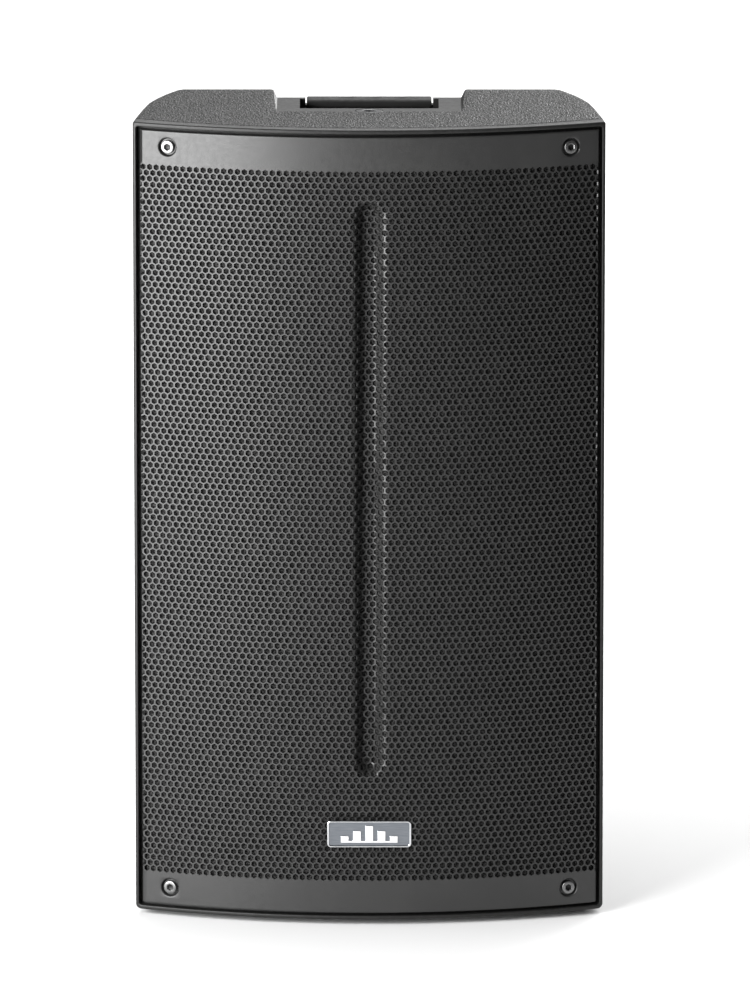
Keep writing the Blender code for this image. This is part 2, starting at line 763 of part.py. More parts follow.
def make_woofer():
    basket = woofer_part(
        "woofer_basket",
        [
            (WOOFER_R, 0.0050),
            (WOOFER_R, GAP),
            (0.1765, GAP),
            (0.1745, -0.022),
            (0.0980, -0.0985),
            (0.0600, -0.0985),
            (0.0600, -0.0950),
            (0.0955, -0.0950),
            (0.1700, -0.0200),
            (0.1730, 0.0050),
        ],
        None,
        20,
        True,
    )
    for i in range(6):
        angle = math.pi / 3 * (i + 0.5)
        window = slab(
            f"basket_window_{i}",
            [(0.100, -0.033), (0.165, -0.058), (0.165, 0.058), (0.100, 0.033)],
            0.020,
            0.084,
        )
        window.rotation_euler = (math.pi / 2, angle, 0)
        window.location = (0, at(PANEL_FACE), WOOFER_Z)
        cut(basket, window)
    finish(basket, "aluminium")
    rim = [(0.1850, 0.0064), (0.1850, 0.0053)]
    lip = [(0.1503, 0.0053), (0.1503, 0.0064)]
    loop = rim + half_roll(0.0105) + lip + half_roll(0.0115)[::-1]
    woofer_part("woofer_surround", loop, "rubber", 24, True)
    woofer_part(
        "woofer_cone",
        [
            (0.1500, 0.0052),
            (0.1440, 0.0028),
            (0.0405, -0.0700),
            (COIL_R + 0.0009, -0.0720),
            (COIL_R + 0.0009, -0.0705),
            (0.0400, -0.0685),
            (0.1430, 0.0045),
            (0.1495, 0.0064),
        ],
        "paper",
        24,
        True,
    )
    cap = [(0, -0.0420), (0.0200, -0.0442), (0.0400, -0.0510), (0.0520, -0.0572)]
    under = [(0.0520, -0.0582), (0.0400, -0.0521), (0.0200, -0.0453), (0, -0.0431)]
    woofer_part("woofer_dust_cap", cap + under, "paper", 20)
    woofer_part(
        "woofer_voice_coil",
        [
            (COIL_R, -0.0690),
            (COIL_R, -0.1180),
            (COIL_R - 0.0008, -0.1180),
            (COIL_R - 0.0008, -0.0690),
        ],
        "aluminium",
        20,
        True,
    )
    woofer_part(
        "woofer_spider",
        [
            (0.0880, -0.0900),
            (0.0880, -0.0912),
            (0.0760, -0.0932),
            (0.0640, -0.0902),
            (0.0520, -0.0932),
            (COIL_R + 0.0008, -0.0912),
            (COIL_R + 0.0008, -0.0900),
            (0.0520, -0.0920),
            (0.0640, -0.0890),
            (0.0760, -0.0920),
        ],
        "paper",
        20,
        True,
    )
    woofer_part(
        "woofer_top_plate",
        [
            (0.0800, -0.0988),
            (0.0800, -0.1068),
            (COIL_R + 0.0011, -0.1068),
            (COIL_R + 0.0011, -0.0988),
        ],
        "steel_black",
        20,
        True,
    )
    woofer_part(
        "woofer_magnet",
        [(0.0880, -0.1071), (0.0880, -0.1290), (0.0500, -0.1290), (0.0500, -0.1071)],
        "ferrite",
        20,
        True,
    )
    woofer_part(
        "woofer_pole_plate",
        [
            (0, -0.0980),
            (0.0368, -0.0980),
            (0.0368, -0.1293),
            (0.0800, -0.1293),
            (0.0800, -0.1380),
            (0, -0.1380),
        ],
        "steel_black",
        24,
    )


# Horn and compression driver


def make_horn():
    """A loft from the wide rounded mouth to the round throat, thickened outwards."""
    sections = (
        (0.0552, HORN_HALF_X + 0.009, HORN_HALF_Z + 0.009, 5.0),
        (0.0552, HORN_HALF_X, HORN_HALF_Z, 5.0),
        (0.0680, 0.128, 0.085, 4.0),
        (0.0900, 0.094, 0.058, 3.2),
        (0.1180, 0.048, 0.031, 2.4),
        (THROAT_DEPTH - 0.010, THROAT_R, THROAT_R, 2.0),
        (THROAT_DEPTH - GAP, THROAT_R, THROAT_R, 2.0),
    )
    around = 24
    mesh = bpy.data.meshes.new("horn_waveguide")
    shape = bmesh.new()
    rings = []
    for depth, half_x, half_z, power in sections:
        ring = []
        for i in range(around):
            angle = 2 * math.pi * i / around
            c, s = math.cos(angle), math.sin(angle)
            x = half_x * math.copysign(abs(c) ** (2 / power), c)
            z = half_z * math.copysign(abs(s) ** (2 / power), s)
            ring.append(shape.verts.new((x, at(depth), HORN_Z + z)))
        rings.append(ring)
    for near, far in zip(rings, rings[1:]):
        for i in range(around):
            j = (i + 1) % around
            shape.faces.new((near[i], near[j], far[j], far[i]))
    bmesh.ops.recalc_face_normals(shape, faces=shape.faces)
    if sum(face.normal.y for face in shape.faces) > 0:
        bmesh.ops.reverse_faces(shape, faces=shape.faces)
    shape.to_mesh(mesh)
    shape.free()
    horn = new_object("horn_waveguide", mesh)
    thicken(horn, 0.0025)
    finish(horn, "moulding")


def driver_part(name, profile, look, closed=False, steps=20):
    centre = (0, at(THROAT_DEPTH), HORN_Z)
    return finish(turned(name, profile, centre, FACE_FRONT, steps, closed), look)


def make_compression_driver():
    driver_part(
        "hf_driver_body",
        [
            (0.0220, -GAP),
            (0.0220, -0.0100),
            (0.0540, -0.0100),
            (0.0540, -0.0380),
            (0.0280, -0.0380),
            (0.0280, -0.0340),
            (0.0180, -0.0300),
            (THROAT_R, -0.0150),
            (THROAT_R, -GAP),
        ],
        "steel_black",
        True,
    )
    driver_part(
        "hf_diaphragm",
        [
            (0, -0.0330),
            (0.0130, -0.0352),
            (0.0225, -0.0395),
            (0.0225, -0.0401),
            (0.0125, -0.0358),
            (0, -0.0336),
        ],
        "aluminium",
    )
    driver_part(
        "hf_rear_cover",
        [
            (0, -0.0575),
            (0.0410, -0.0575),
            (0.0430, -0.0555),
            (0.0430, -0.0383),
            (0.0460, -0.0383),
            (0.0460, -0.0560),
            (0.0420, -0.0600),
            (0, -0.0600),
        ],
        "moulding",
    )


def make_ports():
    profile = [
        (PORT_R + 0.006, 0.0030),
        (PORT_R + 0.006, GAP),
        (PORT_R, GAP),
        (PORT_R, -PORT_LENGTH),
        (PORT_R - 0.0025, -PORT_LENGTH),
        (PORT_R - 0.0025, -0.0080),
        (PORT_R, -0.0005),
        (PORT_R + 0.0035, 0.0030),
    ]
    for name, side in (("port_tube_left", -1), ("port_tube_right", 1)):
        centre = (side * PORT_X, at(PANEL_FACE), PORT_Z)
        finish(turned(name, profile, centre, FACE_FRONT, 20, True), "moulding")


# Amplifier and rear panel


def panel_hole(panel, name, radius, x, z, sides=8):
    """A round hole through the amplifier's panel."""
    start = (x, at(AMP_FACE + 0.006), z)
    cut(panel, rod(name, radius, 0.02, start, FACE_FRONT, sides))


def around(name, centre, half_x, half_z, depth):
    """A box about a point of the panel, between two depths."""
    x, z = centre
    return box(name, (x - half_x, x + half_x), depth, (z - half_z, z + half_z))


def make_amp_panel():
    span = (AMP_FACE - AMP_PLATE, AMP_FACE)
    panel = plate("amp_panel", AMP_HALF_X, AMP_HALF_Z, 0.0035, span, (0, AMP_Z))
    for i, x in enumerate(COLUMNS):
        panel_hole(panel, f"connector_hole_{i}", BARREL_R + GAP, x, INPUT_Z, 16)
        panel_hole(panel, f"knob_hole_{i}", 0.0035, x, KNOB_Z)
        panel_hole(panel, f"switch_hole_{i}", 0.0033 if i < 2 else 0.0035, x, SWITCH_Z)
    for i, x in enumerate(LAMPS):
        panel_hole(panel, f"lamp_hole_{i}", 0.0018, x, KNOB_Z)
    through = (AMP_FACE - 0.01, AMP_FACE + 0.01)
    for x in COLUMNS[:2]:
        cut(panel, around(f"latch_hole_{x}", (x, INPUT_Z + LATCH_Z - 0.0018), 0.0043, 0.0032, through))
    inlet_x, inlet_z = INLET_BODY
    switch_x, switch_z = SWITCH_BODY
    cut(
        panel,
        around("inlet_hole", (INLET_X, POWER_Z), inlet_x + GAP, inlet_z + GAP, through),
        around("rocker_hole", (SWITCH_X, POWER_Z), switch_x + GAP, switch_z + GAP, through),
    )
    for x, z, tag in panel_screws():
        panel_hole(panel, f"panel_screw_hole_{tag}", 0.0024, x, z)
    finish(panel, "steel_black")


def panel_screws():
    spots = []
    side, reach = AMP_HALF_X - 0.0042, AMP_HALF_Z - 0.004
    for z in (AMP_Z + reach, AMP_Z - reach):
        for x in (-side, side):
            spots.append((x, z, len(spots) + 1))
    return spots


def make_panel_screws():
    profile = [
        (0, 0.0021),
        (0.0018, 0.0019),
        (0.0030, 0.0010),
        (0.0032, GAP),
        (0.0020, GAP),
        (0.0020, -0.0024),
        (0, -0.0024),
    ]
    for x, z, tag in panel_screws():
        centre = (x, at(AMP_FACE), z)
        screw = turned(f"panel_screw_{tag}", profile, centre, FACE_BACK, 10)
        deep = (AMP_FACE + 0.0009, AMP_FACE + 0.004)
        long, narrow = 0.0016, 0.0003
        cut(
            screw,
            around(f"driver_slot_{tag}", (x, z), long, narrow, deep),
            around(f"driver_slot_up_{tag}", (x, z), narrow, long, deep),
        )
        finish(screw, "zinc")


def make_heatsink():
    """Upright fins on a thin base, drawn as one comb and extruded."""
    half, base = 0.080, 0.0025
    face, tip = AMP_FACE + GAP, DEPTH - 0.0005
    pitch = 2 * half / (FINS - 1 + 0.3)
    fin = 0.3 * pitch
    outline = [(-half, at(face)), (half, at(face))]
    for i in range(FINS):
        right = half - i * pitch
        left = right - fin
        outline += [(right, at(tip)), (left, at(tip))]
        if i < FINS - 1:
            outline += [(left, at(face + base)), (right - pitch, at(face + base))]
    finish(slab("heatsink", outline, *HEATSINK_Z), "steel_black")


def make_amp_housing():
    centre = (0, AMP_Z)
    half_x, half_z = OPENING_X - 0.0015, OPENING_Z - 0.0015
    face = AMP_LEDGE
    housing = plate("amp_housing", half_x, half_z, 0.003, (0.300, face), centre)
    room = plate("housing_room", half_x - 0.0015, half_z - 0.0015, 0.002, (0.3015, 0.39), centre)
    cut(housing, room)
    finish(housing, "aluminium")


def make_boards():
    amp = box("amp_board", (-0.074, 0.074), (0.312, 0.3136), (0.352, 0.512))
    for i, x in enumerate((-0.050, -0.018, 0.014)):
        base = (x, at(0.3130), 0.378)
        join(amp, rod(f"capacitor_{i}", 0.0110, 0.024, base, FACE_BACK, 12))
    join(amp, box("output_coils", (0.034, 0.064), (0.3130, 0.334), (0.362, 0.394)))
    join(amp, box("amp_devices", (-0.060, 0.060), (0.3130, 0.322), (0.408, 0.420)))
    finish(amp, "board")
    supply = box("power_supply", (-0.074, 0.074), (0.312, 0.3136), (0.150, 0.344))
    join(supply, box("transformer", (-0.034, 0.034), (0.3130, 0.352), (0.222, 0.282)))
    for i, z in enumerate((0.168, 0.196, 0.312)):
        base = (-0.055, at(0.3130), z)
        join(supply, rod(f"mains_capacitor_{i}", 0.0120, 0.028, base, FACE_BACK, 12))
    join(supply, box("line_filter", (0.040, 0.066), (0.3130, 0.332), (0.196, 0.224)))
    finish(supply, "board")


def make_knob(name, x, z, radius):
    """A fluted-skirt knob with a raised pointer and a stem through the panel."""
    profile = [
        (0, 0.0098),
        (radius - 0.0012, 0.0098),
        (radius - 0.0004, 0.0088),
        (radius, 0.0020),
        (radius + 0.0008, 0.0010),
        (radius + 0.0008, GAP),
        (0.0030, GAP),
        (0.0030, -0.0120),
        (0, -0.0120),
    ]
    centre = (x, at(AMP_FACE), z)
    knob = turned(name, profile, centre, FACE_BACK, 14)
    pointer = box(
        name + "_pointer",
        (x - 0.0006, x + 0.0006),
        (AMP_FACE + 0.0080, AMP_FACE + 0.0104),
        (z + 0.0010, z + radius - 0.0006),
    )
    join(knob, pointer)
    finish(knob, "rubber")


def make_controls():
    make_knob("input_1_level_knob", COLUMNS[0], KNOB_Z, 0.0072)
    make_knob("input_2_level_knob", COLUMNS[1], KNOB_Z, 0.0072)
    make_knob("master_level_knob", COLUMNS[2], KNOB_Z, 0.0072)
    make_knob("preset_selector_knob", COLUMNS[2], SWITCH_Z, 0.0058)
    profile = [
        (0, 0.0046),
        (0.0026, 0.0046),
        (0.0030, 0.0042),
        (0.0030, -AMP_PLATE - GAP),
        (0.0045, -AMP_PLATE - GAP),
        (0.0045, -0.0080),
        (0, -0.0080),
    ]
    for i in range(2):
        centre = (COLUMNS[i], at(AMP_FACE), SWITCH_Z)
        push = turned(f"input_{i + 1}_mic_switch", profile, centre, FACE_BACK, 12)
        finish(push, "rubber")
    lamp = [(0, 0.0016), (0.0010, 0.0013), (0.0015, 0.0004), (0.0015, -0.006), (0, -0.006)]
    for name, x in zip(("power_lamp", "limit_lamp"), LAMPS):
        finish(turned(name, lamp, (x, at(AMP_FACE), KNOB_Z), FACE_BACK, 10), "lamp")


def make_connector(name, x, look, pins):
    """A round panel connector: square flange, barrel through the panel, socket and contacts."""
    flange = (AMP_FACE + GAP, AMP_FACE + 0.0022)
    made = plate(name, 0.0130, 0.0155, 0.0020, flange, (x, INPUT_Z))
    barrel_start = (x, at(flange[1] - 0.0004), INPUT_Z)
    socket_start = (x, at(flange[1] + 0.002), INPUT_Z)
    join(made, rod(name + "_barrel", BARREL_R, 0.0270, barrel_start, FACE_FRONT, 16))
    cut(made, rod(name + "_socket", PLUG_R, 0.0215, socket_start, FACE_FRONT, 16))
    for i in range(pins):
        angle = math.radians(30 + 120 * i)
        pin_x = x + PIN_RING * math.cos(angle)
        pin_z = INPUT_Z + PIN_RING * math.sin(angle)
        spot = (pin_x, at(AMP_FACE - 0.0200), pin_z)
        join(made, rod(f"{name}_pin_{i}", PIN_R, 0.0160, spot, FACE_BACK, 8))
    if pins == 0:
        tab = (flange[0] - 0.002, BEHIND)
        cut(made, around(name + "_tab_hole", (x, INPUT_Z + LATCH_Z - 0.0007), 0.0043, 0.0021, tab))
    finish(made, look)


def make_connectors():
    for i, name in enumerate(("combo_input_1", "combo_input_2")):
        x = COLUMNS[i]
        make_connector(name, x, "moulding", 0)
        latch = box(
            f"{name}_latch",
            (x - 0.0040, x + 0.0040),
            (AMP_FACE + GAP, AMP_FACE + 0.0045),
            (INPUT_Z + LATCH_Z - 0.0010, INPUT_Z + LATCH_Z + 0.0011),
        )
        finish(latch, "red")
    make_connector("link_output", COLUMNS[2], "moulding", 3)


def make_power_inlet():
    """A mains inlet with three blades above a sliding fuse drawer."""
    x, z = INLET_X, POWER_Z
    flange = (AMP_FACE + GAP, AMP_FACE + 0.0024)
    made = plate("power_inlet", 0.0255, 0.0215, 0.0025, flange, (x, z))
    join(made, around("inlet_body", (x, z), *INLET_BODY, (AMP_FACE - 0.0240, flange[0] + 0.001)))
    mouth_depth, tray_depth = (AMP_FACE - 0.0150, BEHIND), (AMP_FACE - 0.0200, BEHIND)
    mouth = plate("inlet_mouth", 0.0120, 0.0082, 0.0025, mouth_depth, (x, z + 0.0070))
    tray = around("fuse_room", (x, z - 0.0105), 0.0125, 0.0050, tray_depth)
    cut(made, mouth, tray)
    for i, (dx, dz) in enumerate(((-0.0070, 0.0055), (0.0070, 0.0055), (0, 0.0100))):
        blade_depth = (AMP_FACE - 0.0160, AMP_FACE - 0.0010)
        join(made, around(f"blade_{i}", (x + dx, z + dz), 0.0010, 0.0020, blade_depth))
    finish(made, "moulding")
    drawer_depth = (AMP_FACE - 0.0195, AMP_FACE + 0.0034)
    drawer = around("fuse_drawer", (x, z - 0.0105), 0.0122, 0.0047, drawer_depth)
    bay = around("fuse_bay", (x, z - 0.0070), 0.0110, 0.0070, (AMP_FACE - 0.0180, AMP_FACE - 0.0020))
    cut(drawer, bay)
    finish(drawer, "moulding")


def make_power_switch():
    """A rocker in its frame, tipped to its off side."""
    x, z = SWITCH_X, POWER_Z
    flange = (AMP_FACE + GAP, AMP_FACE + 0.0020)
    frame = plate("power_switch_frame", 0.0125, 0.0165, 0.0015, flange, (x, z))
    join(frame, around("switch_body", (x, z), *SWITCH_BODY, (AMP_FACE - 0.0170, flange[0] + 0.001)))
    cut(frame, around("rocker_room", (x, z), 0.0078, 0.0122, (AMP_FACE - 0.0120, BEHIND)))
    finish(frame, "moulding")
    tip = math.radians(8)
    reach, lift = 0.0105, 0.0020
    profile = [
        (-reach, lift + reach * math.tan(tip)),
        (0, lift),
        (reach, lift + reach * math.tan(tip)),
        (reach, -0.0045),
        (-reach, -0.0045),
    ]
    rocker = slab("power_rocker", [(v, u) for u, v in profile], -0.0074, 0.0074, "YZ")
    rocker.location = (x, at(AMP_FACE), z)
    upright = Euler(PLANES["YZ"]).to_matrix()
    rocker.rotation_euler = (Matrix.Rotation(tip, 3, "X") @ upright).to_euler()
    finish(rocker, "red")


def build():
    make_front_baffle()
    make_rear_shell()
    make_insert("top_rigging_insert", top_insert_place())
    make_insert("rear_rigging_insert", rear_insert_place())
    make_feet()
    make_pole_socket()
    make_handle()
    make_grille()
    make_grille_screws()
    make_badge()
    make_woofer()
    make_horn()
    make_compression_driver()
    make_ports()
    make_amp_panel()
    make_panel_screws()
    make_heatsink()
    make_amp_housing()
    make_boards()
    make_controls()
    make_connectors()
    make_power_inlet()
    make_power_switch()


build()
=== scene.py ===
import json
import math

import bmesh
import bpy
from mathutils import Matrix, Vector


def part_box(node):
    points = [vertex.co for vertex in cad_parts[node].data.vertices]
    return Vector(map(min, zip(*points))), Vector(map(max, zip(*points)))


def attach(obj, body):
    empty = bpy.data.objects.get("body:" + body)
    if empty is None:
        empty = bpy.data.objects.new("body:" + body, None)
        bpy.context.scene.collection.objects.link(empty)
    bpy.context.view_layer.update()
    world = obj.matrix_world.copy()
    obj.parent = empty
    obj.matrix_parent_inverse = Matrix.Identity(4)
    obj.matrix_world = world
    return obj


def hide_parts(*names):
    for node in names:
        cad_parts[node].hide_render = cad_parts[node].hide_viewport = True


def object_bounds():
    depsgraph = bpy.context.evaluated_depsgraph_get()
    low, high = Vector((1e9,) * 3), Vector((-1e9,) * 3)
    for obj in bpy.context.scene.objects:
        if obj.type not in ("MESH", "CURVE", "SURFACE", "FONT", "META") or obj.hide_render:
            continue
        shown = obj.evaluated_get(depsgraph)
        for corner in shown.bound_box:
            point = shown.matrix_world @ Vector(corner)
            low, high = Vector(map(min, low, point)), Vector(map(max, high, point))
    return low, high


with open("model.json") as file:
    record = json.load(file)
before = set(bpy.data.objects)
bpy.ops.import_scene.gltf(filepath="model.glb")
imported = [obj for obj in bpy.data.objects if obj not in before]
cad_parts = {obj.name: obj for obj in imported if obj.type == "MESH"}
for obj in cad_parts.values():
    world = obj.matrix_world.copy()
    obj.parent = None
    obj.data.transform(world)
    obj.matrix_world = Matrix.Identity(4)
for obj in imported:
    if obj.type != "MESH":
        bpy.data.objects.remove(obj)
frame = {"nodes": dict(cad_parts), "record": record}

CAD_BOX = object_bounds()

# Cabinet, in metres. Depths are counted from the front of the bow towards +Y.
FRONT = CAD_BOX[0].y
DEPTH = CAD_BOX[1].y - CAD_BOX[0].y
CREST = CAD_BOX[1].z
LIP_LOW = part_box("front_baffle")[0].z
LIP_HIGH = CREST - 0.005
BACK_TOP = CREST - 0.068
BOW_RADIUS = 0.535
WALL = 0.005
GAP = 0.0003
CORNER, LOW_CORNER = 0.002, 0.0045
PARTING = 0.012
SIDE_STATIONS = (
    (0.041, 0.2066), (0.088, 0.1988), (0.115, 0.1935), (0.133, 0.1867), (0.148, 0.1797),
    (0.160, 0.1727), (0.232, 0.134), (0.372, 0.118), (DEPTH, 0.105),
)
TOP_PROFILE = (
    (-0.030, LIP_HIGH), (0.030, LIP_HIGH), (0.152, CREST - 0.0004), (0.167, CREST),
    (0.179, CREST - 0.0018), (DEPTH + 0.02, BACK_TOP - 0.0064),
)
EASE = 0.004
EASED_EDGE = ((0.0012, 0.0), (0.0005, 0.00015), (0.0001, 0.0006), (0.0, 0.0014))
LIP_SIDE, LIP_TOP, POCKET = 0.003, 0.0038, 0.009
SLEEVE = 0.0032
BOARD_FACE, BOARD_THICK = 0.058, 0.008

# Handle
RECESS = ((0.072, 0.7150), (0.165, 0.7118), (0.186, 0.698), (0.272, 0.6863))
RECESS_HALF = 0.0808
SLOT_HALF, SLOT_FRONT, SLOT_STEP, SLOT_BACK = 0.061, 0.098, 0.154, 0.180
SEAT_HALF = 0.0563
TENON_HALF, TENON_TOP, TENON_FRONT, TENON_BACK = 0.072, 0.6980, 0.156, 0.174
ARCH_HALF, ARCH_TOP = 0.050, 0.6935
BLOCK_HALF, BLOCK_FRONT, BLOCK_BACK, BLOCK_LOW = 0.0885, 0.066, 0.285, 0.680
INSERTS, INSERT_DEPTH = ("top_rigging_insert", "rear_rigging_insert"), 0.0845

# Grille
SHEET = 0.0012
FOLD_X, FOLD_BEND, FOLD_LENGTH = 0.200, 0.0014, 0.0052
GRILLE_LOW, GRILLE_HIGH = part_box("grille")[0].z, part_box("grille")[1].z
PITCH, ROW, HOLE = 0.00618, 0.005212, 0.00492
ROWS = 122
FIRST_ROW = LIP_HIGH - 0.0391
FIRST_HOLE = -0.2020
LEAN = 0.0132
GROOVE_TOP, GROOVE_FOOT = LIP_HIGH - 0.062, LIP_HIGH - 0.579
GROOVE_HALF, GROOVE_FLOOR, GROOVE_DEPTH = 0.0145, 0.0045, 0.011
BADGE_LOW, BADGE_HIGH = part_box("badge_plate")
BADGE_Z = (BADGE_LOW.z + BADGE_HIGH.z) / 2
BADGE_HALF = (BADGE_HIGH.x, BADGE_HIGH.z - BADGE_Z)
BADGE_POCKET = (0.0405, 0.0165)
BADGE_FLOOR = 0.0024
DIMPLE = 0.0034
SCREW_X = 0.176
SCREW_ROWS = (LIP_HIGH - 0.0205, LIP_LOW + 0.0222)

# Rear panel
AMP_LOW, AMP_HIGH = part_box("amp_panel")
AMP_FACE, AMP_LEDGE = AMP_HIGH.y - FRONT, AMP_LOW.y - FRONT - GAP
AMP_Z = (AMP_LOW.z + AMP_HIGH.z) / 2
AMP_HALF_X, AMP_HALF_Z = AMP_HIGH.x, AMP_HIGH.z - AMP_Z
OPENING_X, OPENING_Z, PANEL_CORNER = 0.085, 0.192, 0.004
COLUMNS = (0.052, 0.0, -0.052)
LAMPS = (0.080, 0.026)
INPUT_Z, KNOB_Z, SWITCH_Z = 0.487, 0.440, 0.408
LATCH_Z = 0.0131

QUARTER = math.pi / 2
FACE_FRONT = (QUARTER, 0, 0)
FACE_BACK = (-QUARTER, 0, 0)

SLOTS = {part["node"]: part["material_slot"] for part in frame["record"]["subparts"]}


def at(depth):
    """World Y of a depth behind the front of the bow."""
    return FRONT + depth


def middle(node):
    low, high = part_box(node)
    return (low + high) / 2


def half_size(node):
    low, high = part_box(node)
    return (high - low) / 2


# Shapes


def smooth(t):
    t = min(1, max(0, t))
    return t * t * (3 - 2 * t)


def along(profile, u):
    """Height of a polyline of (u, v) points at u."""
    for (u0, v0), (u1, v1) in zip(profile, profile[1:]):
        if u <= u1:
            break
    return v0 + (v1 - v0) * (u - u0) / (u1 - u0)


def eased(profile, u, reach):
    """The same polyline with its corners eased over a short reach."""
    return (along(profile, u - reach) + 2 * along(profile, u) + along(profile, u + reach)) / 4


def bow(x):
    return BOW_RADIUS - math.sqrt(BOW_RADIUS**2 - x**2)


def half_width(depth):
    """Half the cabinet's width at a depth. The corners of the side are eased behind the lip."""
    if depth > 0.046:
        return eased(SIDE_STATIONS, min(depth, DEPTH - EASE), EASE)
    return along(SIDE_STATIONS, depth)


def top_height(depth):
    return eased(TOP_PROFILE, depth, EASE)


def piece(name, mesh):
    made = bpy.data.objects.new(name, mesh)
    bpy.context.scene.collection.objects.link(made)
    return made


def piece_of(name, shape):
    """A new piece from a shape that is then done with."""
    mesh = bpy.data.meshes.new(name)
    shape.to_mesh(mesh)
    shape.free()
    return piece(name, mesh)


def close_up(shape, merge=0.000001):
    bmesh.ops.remove_doubles(shape, verts=shape.verts, dist=merge)
    bmesh.ops.dissolve_degenerate(shape, edges=shape.edges, dist=merge)
    bmesh.ops.recalc_face_normals(shape, faces=shape.faces)


def seal(shape, mesh):
    """Turns a closed shape's faces outwards and writes it to its mesh."""
    if shape.calc_volume(signed=True) < 0:
        bmesh.ops.reverse_faces(shape, faces=shape.faces)
    shape.to_mesh(mesh)
    shape.free()


def skin(name, rings, closed=False, holes=(), place=None):
    """Quads between rings of points, less the holes. closed joins the last ring to the first."""
    count, around = len(rings), len(rings[0])
    points = [p for ring in rings for p in ring]
    faces = []
    for i in range(count if closed else count - 1):
        n = (i + 1) % count
        for j in range(around):
            k = (j + 1) % around
            if (i, j) not in holes:
                faces.append((i * around + j, i * around + k, n * around + k, n * around + j))
    mesh = bpy.data.meshes.new(name)
    mesh.from_pydata(points, [], faces)
    if place is not None:
        mesh.transform(place)
    shape = bmesh.new()
    shape.from_mesh(mesh)
    close_up(shape)
    seal(shape, mesh)
    return piece(name, mesh)


def soften(corners, steps=4):
    """An outline whose (u, v, radius) corners are arcs."""
    outline = []
    count = len(corners)
    for i, (u, v, radius) in enumerate(corners):
        here = Vector((u, v))
        if radius == 0:
            outline.append((u, v))
            continue
        back = (Vector(corners[i - 1][:2]) - here).normalized()
        onward = (Vector(corners[(i + 1) % count][:2]) - here).normalized()
        half = back.angle(onward) / 2
        hub = here + (back + onward).normalized() * radius / math.sin(half)
        first = here + back * radius / math.tan(half) - hub
        last = here + onward * radius / math.tan(half) - hub
        for k in range(steps + 1):
            spoke = first.slerp(last, k / steps) * radius
            outline.append(tuple(hub + spoke))
    return outline


def stand(centre, rotation=(0, 0, 0)):
    turn = Matrix.Rotation(rotation[2], 4, "Z") @ Matrix.Rotation(rotation[0], 4, "X")
    return Matrix.Translation(centre) @ turn


def turned(name, profile, place, steps=64, wave=None):
    """Turns a (radius, height) profile about local Z. wave changes a radius by angle and height."""
    rings = []
    for radius, height in profile:
        ring = []
        for k in range(steps):
            angle = 2 * math.pi * k / steps
            r = radius + (wave(angle, radius, height) if wave else 0)
            ring.append((r * math.cos(angle), r * math.sin(angle), height))
        rings.append(ring)
    return skin(name, rings, place=place)


def circle(u, v, radius, steps=48):
    angles = [2 * math.pi * k / steps for k in range(steps)]
    return [(u + radius * math.cos(a), v + radius * math.sin(a)) for a in angles]


def rectangle(u, v, half_u, half_v, radius, steps=6):
    corners = [(u + a * half_u, v + b * half_v, radius) for a, b in ((1, 1), (-1, 1), (-1, -1), (1, -1))]
    return soften(corners, steps)


def slab(name, outlines, low, high, round_edge=0.0):
    """Extrudes outlines in X and Z from depth to depth, the first with the others as holes in it."""
    curve = bpy.data.curves.new(name, "CURVE")
    curve.dimensions = "2D"
    curve.fill_mode = "BOTH"
    curve.extrude = (high - low) / 2 - round_edge
    curve.bevel_depth = round_edge
    curve.bevel_resolution = 2
    curve.offset = -round_edge
    for outline in outlines:
        line = curve.splines.new("POLY")
        line.points.add(len(outline) - 1)
        line.use_cyclic_u = True
        for point, (u, v) in zip(line.points, outline):
            point.co = (u, v, 0, 1)
    guide = piece(name + "_outline", curve)
    bpy.context.view_layer.update()
    mesh = bpy.data.meshes.new_from_object(guide.evaluated_get(bpy.context.evaluated_depsgraph_get()))
    mesh.transform(stand((0, at((low + high) / 2), 0), FACE_FRONT))
    shape = bmesh.new()
    shape.from_mesh(mesh)
    close_up(shape, 0.00001)
    seal(shape, mesh)
    mesh.name = name
    bpy.data.objects.remove(guide)
    return piece(name, mesh)


def settle(made):
    """Applies a piece's modifiers to its mesh."""
    bpy.context.view_layer.update()
    seen = made.evaluated_get(bpy.context.evaluated_depsgraph_get())
    mesh = bpy.data.meshes.new_from_object(seen)
    made.modifiers.clear()
    made.data = mesh
    return made


def combine(made, tools, operation="DIFFERENCE"):
    for tool in tools:
        step = made.modifiers.new(tool.name, "BOOLEAN")
        step.operation = operation
        step.solver = "EXACT"
        step.object = tool
    settle(made)
    for tool in tools:
        bpy.data.objects.remove(tool)
    return made


def merge(made, other):
    """Takes another piece's mesh into one, as a closed body of its own that keeps its materials."""
    mesh = made.data
    slots = []
    for material in other.data.materials:
        if material.name not in mesh.materials:
            mesh.materials.append(material)
        slots.append(mesh.materials.find(material.name))
    shape = bmesh.new()
    shape.from_mesh(mesh)
    first = len(shape.faces)
    shape.from_mesh(other.data)
    shape.faces.ensure_lookup_table()
    for face in shape.faces[first:]:
        face.material_index = slots[face.material_index]
    shape.to_mesh(mesh)
    shape.free()
    bpy.data.objects.remove(other)


def dress(made, *materials):
    made.data.materials.clear()
    for material in materials:
        made.data.materials.append(material)
    return made


def install(made, node, *looks, body="enclosure"):
    """Puts a piece in its node's place. A piece with no look yet takes its slot's."""
    slot = SLOTS[node]
    if looks or len(made.data.materials) == 0:
        dress(made, *(looks or [SLOT_LOOKS[slot]]))
    made.data.shade_smooth()
    made.data.set_sharp_from_angle(angle=math.radians(32))
    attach(made, body)
    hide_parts(node)
    return made


# Materials


